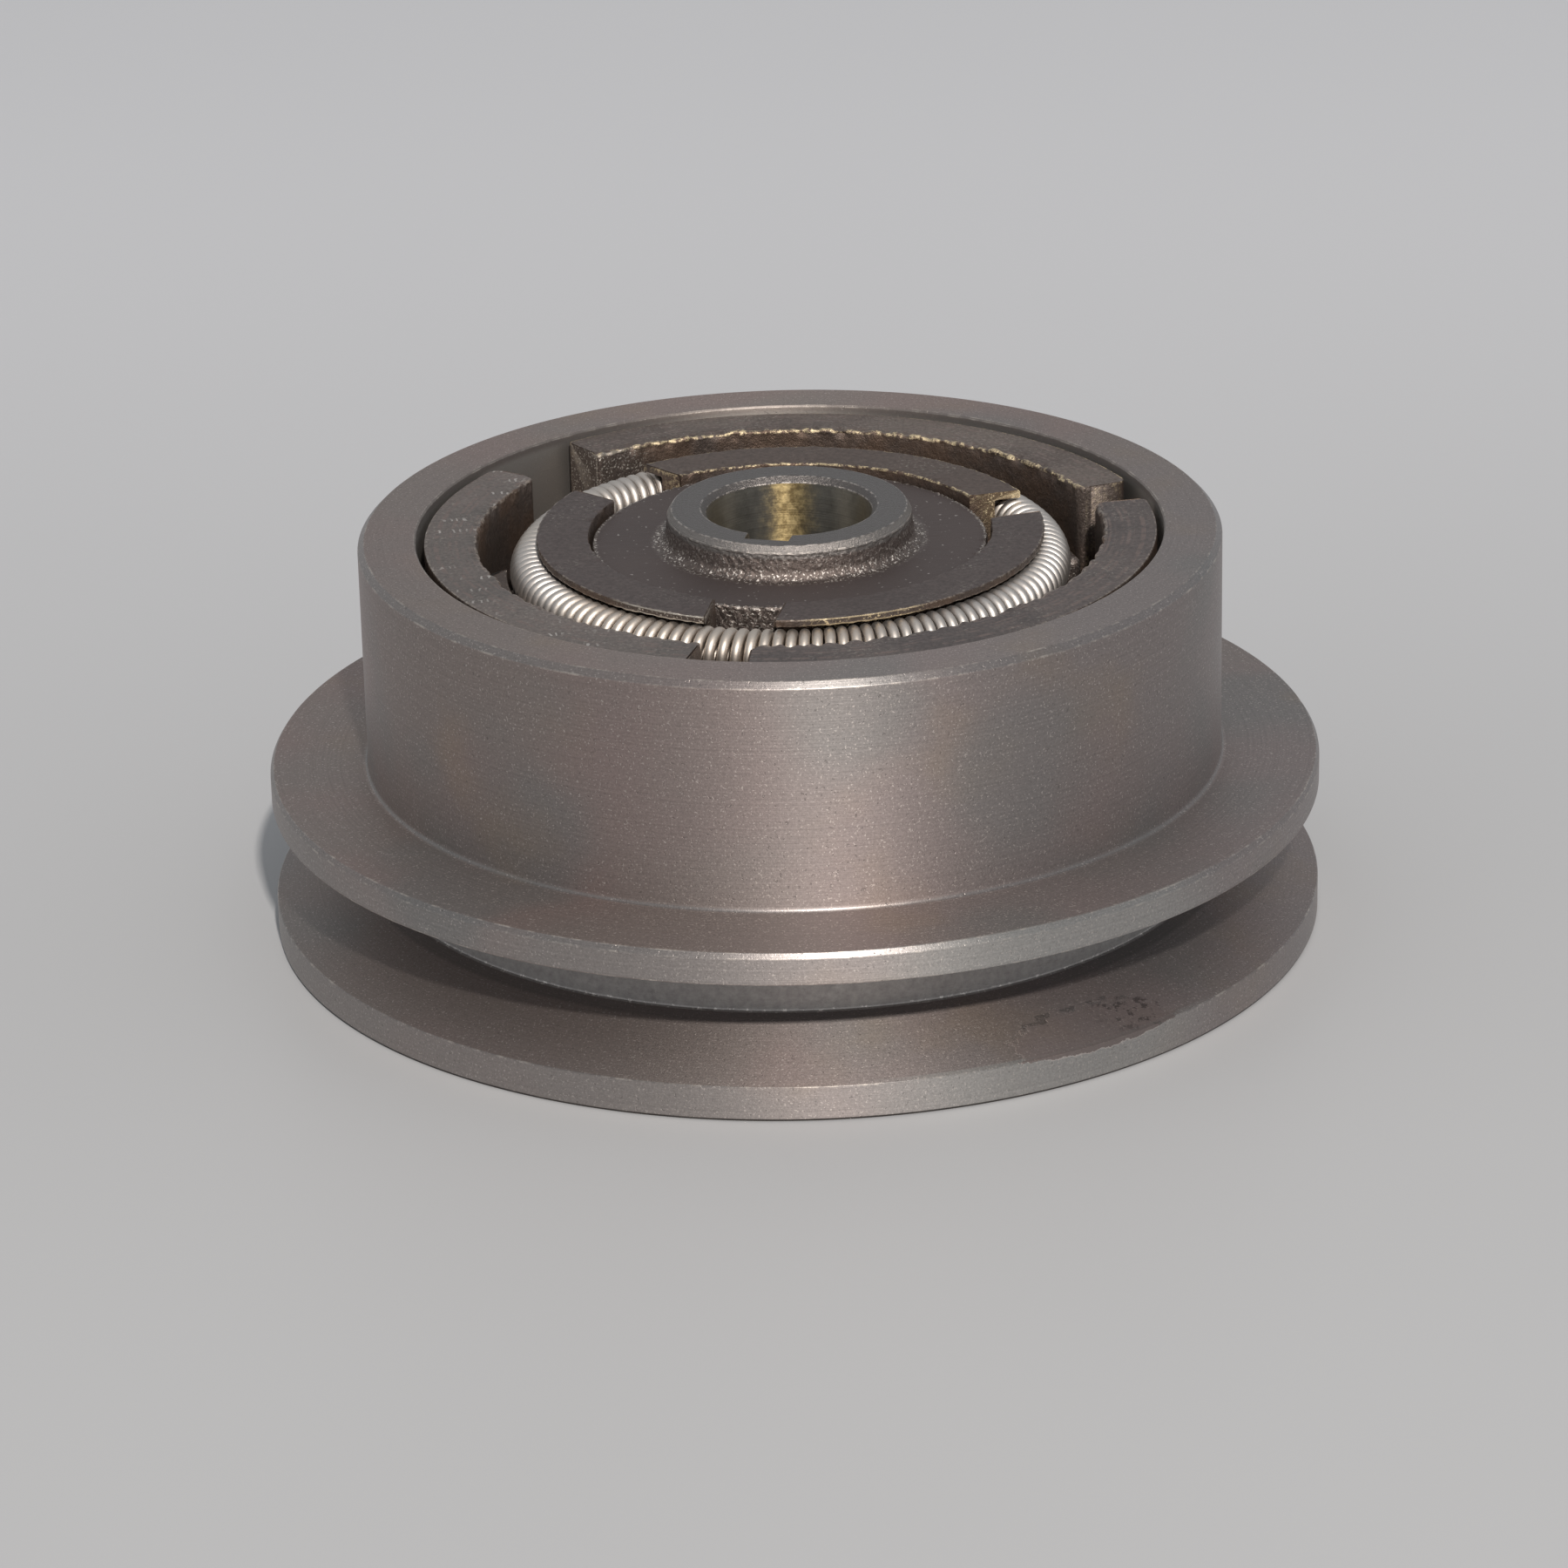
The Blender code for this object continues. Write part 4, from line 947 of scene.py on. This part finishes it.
give(drum, turned_iron("turned_grey_iron", 0.70, 0.46),
     turned_iron("faced_grey_iron", 0.35, 0.46, 0.97),
     turned_iron("burnished_iron_edge", 0.65, 0.34, 0.91, 0.6, PALE_IRON),
     turned_iron("bright_turned_rim", 0.72, 0.44, 1.08, 0.35, PALE_IRON))
upward, centres = face_rows(drum, "normal")[:, 2], face_rows(drum, "center")
out_from_axis = np.hypot(centres[:, 0], centres[:, 1]) / MM
chamfer = (upward > 0.25) & (upward < 0.94) & (out_from_axis > DRUM_BORE + 2.0)
rim_face = (np.abs(upward) < 0.25) & (out_from_axis > FLANGE - 0.5)
kind = np.where(np.abs(upward) > 0.97, 1, np.where(chamfer, 2, np.where(rim_face, 3, 0)))
drum.data.polygons.foreach_set("material_index", kind.astype(np.int32))
print("turned, faced, burnished and rim faces:", np.bincount(kind).tolist())

# %% [markdown]
# ## Cast and machined hub
#
# The hub shows three finishes side by side: the dark, finely pitted disc with painted glints, the
# coarse skin round the boss with painted glints, and the machined boss top, whose chamfer is
# painted lighter as a highlight. One material with soft steps in radius and height keeps the
# borders where the lathe tool stopped. The bore has a material of its own: a film of old oil tints
# it, and a golden highlight is painted down its back.

# %% Hub finish


def hub_iron():
    """Disc and casting skin with painted glints, machined steel with a painted highlight on the
    boss's chamfer, and edges with wear and painted highlights, each kept to its radii and heights.
    """
    f = Finish("hub_iron")
    rings, tone = f.bands(f.across, 5.0), f.noise(0.06, 3.0)
    coarse, painted_glints = f.noise(2.4, 4.0, 0.75), f.spots(3.0, 0.56, 0.66, 2.0, 0.6)
    boss = f.times(f.step(f.radius, 17.0, 15.9), f.step(f.height, 47.0, 47.4))
    edge = f.step(f.radius, SPIDER - 0.7, SPIDER - 0.4)
    cast = f.larger(boss, edge)
    top = f.times(f.step(f.height, 49.9, 50.5), f.step(f.radius, 15.5, 15.0))
    cut = f.larger(top, f.step(f.radius, 12.6, 10.9))
    sleeve = f.step(f.height, 31.0, 30.0)
    low_band = f.times(f.step(f.height, 48.9, 48.1), f.step(f.height, 46.2, 46.8))
    # painted glints: bright flecks on the boss's skin, thickest in the band at its foot, and on the
    # disc's edge
    skin = f.paint(f.mix(coarse, (0.055, 0.044, 0.041), (0.235, 0.192, 0.172)),
                   ((0.80, 0.74, 0.68), painted_glints, f.mix(low_band, 0.35, 1.0)),
                   ((0.66, 0.61, 0.56), painted_glints, edge, 0.8))
    steel = f.mix(rings, (0.122, 0.111, 0.106), (0.172, 0.157, 0.150))
    # painted highlight: the boss top's chamfer is painted lighter all round
    chamfer = f.step(f.radius, BOSS - 0.6, BOSS - 0.45)
    colour = f.paint(
        f.mix(tone, (0.103, 0.083, 0.080), (0.133, 0.109, 0.104)),
        # painted glints: sparse pale dots on the disc
        ((0.42, 0.39, 0.37), f.spots(2.1, 0.77, 0.83, 0.0), 0.8),
        (skin, cast), (steel, f.larger(top, sleeve)), ((0.27, 0.25, 0.235), top, chamfer, 0.8),
        # wear and painted highlight: outward corners are painted paler, more on the machined top
        ((0.55, 0.50, 0.46), f.edge_wear_and_highlight(1.6, 0.42, 0.62, 3.0), f.mix(top, 0.35, 0.7)))
    roughness = f.mix(cut, f.mix(cast, f.mix(tone, 0.52, 0.66), 0.38), 0.34)
    fine = f.mix(cut, f.noise(3.0, 4.0, 0.75), rings)
    bumps = f.plus(f.times(coarse, cast, 3.0), f.times(fine, 0.8))
    return f.done(colour, roughness, 0.85, bumps, 0.050)


def oiled_bore():
    """Reamed steel: rings across the bore, a film of old oil, and a painted golden highlight down
    its back.
    """
    f = Finish("oiled_bore")
    rings, film = f.bands(f.height, 4.0, 3.0, 0.6), f.noise(0.9, 4.0, 0.75)
    sideways = f.calc("ABSOLUTE", f.calc("DIVIDE", f.x, MM))
    # painted highlight: a golden streak down the back of the bore, varied by the oil film
    painted_highlight_streak = f.step(f.plus(sideways, f.times(film, -3.0)), 2.6, -0.6)
    golden_highlight = f.mix(f.step(film, 0.35, 0.65), (0.34, 0.25, 0.12), (0.74, 0.58, 0.30))
    colour = f.paint(f.mix(film, (0.28, 0.27, 0.245), (0.48, 0.455, 0.405)),
                     (golden_highlight, painted_highlight_streak, f.step(f.y, 0.0, 4 * MM)))
    colour = f.shaded(colour, f.mix(rings, 0.75, 1.25))
    return f.done(colour, f.mix(film, 0.28, 0.44), 0.95, f.plus(rings, film), 0.020, 0.8)


give(hub, hub_iron(), oiled_bore())
centres = face_rows(hub, "center") / MM
within = np.hypot(centres[:, 0], centres[:, 1]) < KEY_FLOOR + 0.1
within &= (centres[:, 2] < BOSS_TOP - 0.8) & (centres[:, 2] > SLEEVE_END + 0.8)
hub.data.polygons.foreach_set("material_index", within.astype(np.int32))
print("bore faces with their own finish:", int(within.sum()))

# %% [markdown]
# ## Cast shoes
#
# The shoes are sand castings with a ground top. The grinding is coarse, and it left short bright
# nicks, in rows on the left shoe and in slanting lines on the back one. The inner sides keep their
# brown casting skin with a little rust. The nibbled edges are painted paler, partly as wear and
# partly as painted highlights, and near a few points the sides get painted glints. The normal tells
# top from side, so the borders follow the shape of each piece.

# %% Shoe finish
BEND_PER_MM, BEND = 0.5, 1.6 * MM


def nicks(f, angle, along, across, long_share, wide_share):
    """Rows of short dashes: after turning the pattern, a dash is where the fraction of x is under
    its long share and the fraction of y under its wide share. Noise bends the rows, each row is
    shifted by chance, and chance leaves out a third of its dashes."""
    turn = f.add("Mapping", f.place, None, (0.0, 0.0, angle), None, vector_type="POINT")
    bend = f.vector("SUBTRACT", f.noise(BEND_PER_MM, out=1), (0.5, 0.5, 0.5))
    bend = f.vector("MULTIPLY", bend, (BEND, BEND, BEND))
    x, y, _ = f.split(f.vector("ADD", turn, bend))
    y = f.times(y, across / MM)
    row = f.calc("FLOOR", y)
    shift = f.add("TexWhiteNoise", None, row, noise_dimensions="1D")
    x = f.plus(f.times(x, along / MM), shift)
    cell = f.add("CombineXYZ", f.calc("FLOOR", x), row, 0.0)
    chance = f.add("TexWhiteNoise", cell, noise_dimensions="3D")
    return f.times(f.calc("LESS_THAN", f.calc("FRACT", x), long_share),
                   f.calc("LESS_THAN", f.calc("FRACT", y), wide_share),
                   f.calc("GREATER_THAN", chance, 0.35))


def ground_top(f, pits, tone, wall, dash, tints):
    """The ground faces of wall and lip, with streaks and nicks on the wall and dust on both."""
    wall_dark, wall_light, lip_dark, lip_light = tints
    colour = f.mix(wall, f.mix(tone, lip_dark, lip_light),
                   f.mix(f.step(tone, 0.35, 0.65), wall_dark, wall_light))
    colour = f.shaded(colour, f.mix(pits, 0.25, 1.75))
    streaks = f.times(f.step(f.bands(f.radius, 1.7, 3.0, 0.7), 0.46, 0.58),
                      f.spots(0.45, 0.42, 0.60, 4.0, 0.65))
    dust = f.times(f.spots(2.2, 0.57, 0.66, 3.0, 0.7), f.spots(0.10, 0.42, 0.62, 3.0))
    return f.paint(colour, ((0.235, 0.180, 0.163), streaks, wall, 0.7),
                   ((0.44, 0.41, 0.36), dust, 0.5), ((0.56, 0.53, 0.50), dash))


def shoe_iron(name, nick_angle, nick_spacing, nick_strength, edges, tint_and_glint_points, tints):
    """Casting skin on the sides, the ground top, edges with wear and painted highlights, and
    painted glints near some points.
    """
    f = Finish(name + "_iron")
    upward = f.split(f.nodes.new("ShaderNodeNewGeometry").outputs["Normal"])[2]
    top = f.times(f.step(upward, 0.80, 0.93), f.step(f.height, SHOE_TOP - 0.6, SHOE_TOP - 0.3))
    wall = f.step(f.radius, 35.5, 36.0)
    pits, coarse, tone = f.noise(1.8, 4.0, 0.75), f.noise(1.9, 4.0, 0.75), f.noise(0.07, 3.0)
    dash = f.times(nicks(f, nick_angle, *nick_spacing), f.spots(0.12, 0.40, 0.55),
                   nick_strength, wall)
    edge_colour, edge_share, from_radius = edges
    # wear and painted highlight: outward corners are painted in the edge colour, gold on the back
    # shoe
    edge_wear_and_highlight = f.times(f.edge_wear_and_highlight(1.5, 0.45, 0.60, 4.0, 0.65),
                     f.step(f.radius, from_radius, from_radius + 1.0))
    colour = f.paint(f.mix(coarse, (0.056, 0.044, 0.039), (0.185, 0.148, 0.130)),
                     ((0.185, 0.118, 0.080), f.spots(0.13, 0.38, 0.62, 4.0, 0.6), 0.5),
                     (ground_top(f, pits, tone, wall, dash, tints), top),
                     (edge_colour, edge_wear_and_highlight, edge_share))
    painted_glints, worn = f.spots(3.5, 0.55, 0.66, 3.0, 0.6), f.stored("worn")
    # painted glints: near each point the skin is tinted and bright glints are painted on the sides
    # and worn edges
    for point, reach, on_edge, under, glint_colour in tint_and_glint_points:
        near = f.times(f.near(point, reach), f.rest(top))
        bright = f.larger(painted_glints, f.times(worn, on_edge))
        colour = f.paint(colour, (under, near, 0.8), (glint_colour, bright, near))
    roughness = f.mix(top, f.mix(coarse, 0.35, 0.6), f.mix(tone, 0.48, 0.62))
    bumps = f.plus(f.times(coarse, f.mix(top, 3.0, 0.25)),
                   f.times(f.plus(pits, f.times(dash, 0.8)), 0.5))
    return f.done(colour, roughness, 0.8, bumps, 0.050)


GOLD, PALE, DULL = (0.82, 0.68, 0.44), (0.62, 0.58, 0.52), (0.48, 0.42, 0.36)
DARK_SKIN, BRONZE, BROWN = (0.135, 0.110, 0.098), (0.26, 0.19, 0.12), (0.24, 0.20, 0.175)
# painted glints: each point, its reach, its share on worn edges, the skin tint and the glint colour
TINT_AND_GLINT_POINTS = {
    "shoe_back": [((27.5, 13.0, 46.5), 6.0, 1.0, BRONZE, GOLD),
                  ((-24.0, 32.0, 43.0), 9.0, 0.3, DARK_SKIN, PALE),
                  ((38.0, 11.0, 45.0), 7.0, 0.0, DARK_SKIN, BROWN)],
    "shoe_left": [((-15.0, -27.5, 48.0), 9.0, 0.9, DARK_SKIN, PALE)],
    "shoe_right": [((9.0, -30.0, 48.0), 9.0, 0.6, DARK_SKIN, GOLD)],
}
# the last entry of each is the edges' colour, share and least radius, for their wear and painted
# highlights
NICKS = {
    "shoe_back": (0.9, (1.1, 1.9, 0.5, 0.4), 0.12, (GOLD, 0.75, 20.0)),
    "shoe_left": (-0.15, (1.15, 0.24, 0.30, 0.22), 0.8, (DULL, 0.4, 28.0)),
    "shoe_right": (-0.5, (0.40, 0.9, 0.3, 0.10), 0.2, (DULL, 0.4, 28.0)),
}
LIP_TINTS = ((0.104, 0.084, 0.080), (0.128, 0.104, 0.099))
TINTS = {
    # painted reflection: the back shoe's lip tints are warmer, as a warm reflection
    "shoe_back": ((0.142, 0.113, 0.100), (0.195, 0.162, 0.143),
                  (0.118, 0.090, 0.079), (0.145, 0.112, 0.097)),
    "shoe_left": ((0.160, 0.142, 0.132), (0.215, 0.184, 0.170), *LIP_TINTS),
    "shoe_right": ((0.112, 0.096, 0.093), (0.158, 0.134, 0.127), *LIP_TINTS),
}
for name, piece in shoes.items():
    give(piece, shoe_iron(name, *NICKS[name], TINT_AND_GLINT_POINTS[name], TINTS[name]))
print("shoes finished:", ", ".join(shoes))

# %% [markdown]
# ## Spring wire, bearing steel, retaining rings and rubber
#
# Spring wire is drawn through a die, so it is smooth with faint scratches and slightly warm from
# tempering. Races are ground and bright, retaining rings are dark phosphated steel, the cage is
# rolled sheet, and the seal is matt nitrile rubber with mould marks. Each is a simple finish, and
# what makes it believable is the small change of roughness over the surface.

# %% Spring wire


def spring_wire():
    """Bright wire with slow changes of tone, straw-coloured patches and fine dark scratches."""
    f = Finish("drawn_spring_wire")
    scratches = f.noise(4.0, 3.0, 0.7)
    colour = f.paint(f.mix(f.noise(0.12, 2.0), (0.50, 0.468, 0.445), (0.66, 0.630, 0.600)),
                     ((0.66, 0.55, 0.44), f.spots(0.04, 0.45, 0.60, 1.0), 0.4),
                     ((0.24, 0.21, 0.20), f.step(scratches, 0.55, 0.75), 0.45))
    return f.done(colour, f.mix(scratches, 0.42, 0.60), 1.0, scratches, 0.010)


wire_finish = spring_wire()
for third in springs:
    give(third, wire_finish)
print("spring thirds finished:", len(springs))

# %% Other finishes


def plain(name, dark, light, rough, ring_marks, metallic=1.0, depth=0.008):
    """Turned or rolled metal with rings of the given density, stains, and slow changes of shine."""
    f = Finish(name)
    rings, fine = f.bands(f.across, ring_marks), f.noise(3.5, 2.0, 0.6)
    stain = f.noise(0.15, 4.0, 0.6)
    colour = f.shaded(f.mix(stain, dark, light), f.mix(fine, 0.82, 1.18))
    roughness = f.mix(f.times(f.plus(rings, stain), 0.5), *rough)
    return f.done(colour, roughness, metallic, f.plus(rings, fine), depth)


bearing_steel = plain("ground_bearing_steel", (0.50, 0.50, 0.51), (0.66, 0.66, 0.67),
                      (0.18, 0.34), 6.0)
ring_steel = plain("phosphated_ring_steel", (0.055, 0.052, 0.052), (0.10, 0.095, 0.092),
                   (0.42, 0.60), 2.0, 0.8)
cage_steel = plain("rolled_cage_steel", (0.42, 0.39, 0.33), (0.58, 0.54, 0.46),
                   (0.28, 0.46), 4.0)
rubber = plain("moulded_seal_rubber", (0.018, 0.018, 0.020), (0.032, 0.031, 0.032),
               (0.50, 0.72), 3.0, 0.0, 0.015)
for piece, finish in ((outer_race, bearing_steel), (inner_race, bearing_steel),
                      (pocket_ring, ring_steel), (sleeve_ring, ring_steel), (seal, rubber)):
    give(piece, finish)
    print(piece.name, "is finished in", finish.name)

CARRIED_OVER = {"seal": rubber, "cage": cage_steel, "race": bearing_steel, "ball": bearing_steel,
                "circlip": ring_steel}
for name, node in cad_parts.items():
    for word, finish in CARRIED_OVER.items():
        if word in name:
            give(node, finish)
print("bearing and ring nodes finished too")

# %% [markdown]
# ## Nodes that are covered
#
# The solids behind the new surfaces stay in the file for the collision model, hidden. They are
# never seen beside the finer pieces, but each still gets the finish of the piece that stands for
# it, so that nothing is left plain if one is ever shown.

# %% Finish the covered nodes
COVERED = {"drum_pulley": drum, "driver_hub": hub, "garter_spring": springs[0], **shoes}
for name, piece in COVERED.items():
    give(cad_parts[name], piece.data.materials[0])
print("covered nodes finished:", len(COVERED))

# %% [markdown]
# ## Table and light
#
# The photograph shows a plain, pale grey table with a slightly cool tone and one soft lamp. Where
# the lamp stood can be read from the shadow that the upper rim throws on the groove's lower
# flank: it fits a lamp 41 degrees above the table and 9 degrees right of the front. The room gives
# about a third of the light, so that the sides stay open, and the lamp gives the bright bands on
# the drum's front and on the rims.

# %% Table
FLOOR_HALF = 4.0


def make_table():
    """A flat square, in a cloudy grey with painted light that makes it lighter towards the back."""
    mesh = bpy.data.meshes.new("table")
    corners = [(x * FLOOR_HALF, y * FLOOR_HALF, 0) for x, y in ((-1, -1), (1, -1), (1, 1), (-1, 1))]
    mesh.from_pydata(corners, [], [(0, 1, 2, 3)])
    table = put("table", mesh)
    f = Finish("pale_grey_table")
    grey = f.mix(f.noise(0.004, 3.0), (0.415, 0.420, 0.430), (0.445, 0.449, 0.458))
    # painted light: the table is painted lighter towards the back
    colour = f.paint(grey, ((0.545, 0.550, 0.570), f.step(f.y, -0.05, 0.35)))
    for name, value in (("Base Color", colour), ("Roughness", 0.45), ("Specular IOR Level", 0.25)):
        f.feed(f.shader.inputs[name], value)
    mesh.materials.append(f.material)


make_table()
print("table laid,", 2 * FLOOR_HALF, "m wide")

# %% Light
ROOM_LIGHT, ROOM_COLOUR = 0.49, (0.94, 0.97, 1.0, 1.0)
LAMP_AZIMUTH, LAMP_HEIGHT, LAMP_DISTANCE = math.radians(9.0), math.radians(41.0), 3.0
LAMP_SIZE, LAMP_POWER, LAMP_COLOUR, LAMP_TARGET = 0.12, 87.0, (1.0, 0.94, 0.88), (0.0, 0.0, 0.03)


def add_lamp():
    """A square lamp that faces its target: a lamp shines down its own -Z axis."""
    lamp = bpy.data.lights.new("key_lamp", "AREA")
    lamp.size, lamp.energy, lamp.color = LAMP_SIZE, LAMP_POWER, LAMP_COLOUR
    level = LAMP_DISTANCE * math.cos(LAMP_HEIGHT)
    place = Vector((level * math.sin(LAMP_AZIMUTH), -level * math.cos(LAMP_AZIMUTH),
                    LAMP_DISTANCE * math.sin(LAMP_HEIGHT)))
    turn = (Vector(LAMP_TARGET) - place).normalized().to_track_quat("-Z", "Y")
    put("key_lamp", lamp).matrix_world = Matrix.Translation(place) @ turn.to_matrix().to_4x4()


def set_world():
    """The room's even light."""
    world = bpy.data.worlds.new("soft_room")
    world.use_nodes = True
    background = world.node_tree.nodes["Background"]
    background.inputs["Color"].default_value = ROOM_COLOUR
    background.inputs["Strength"].default_value = ROOM_LIGHT
    bpy.context.scene.world = world


set_world()
add_lamp()
bpy.context.scene.view_settings.view_transform = "Standard"
print("lamp and room set")
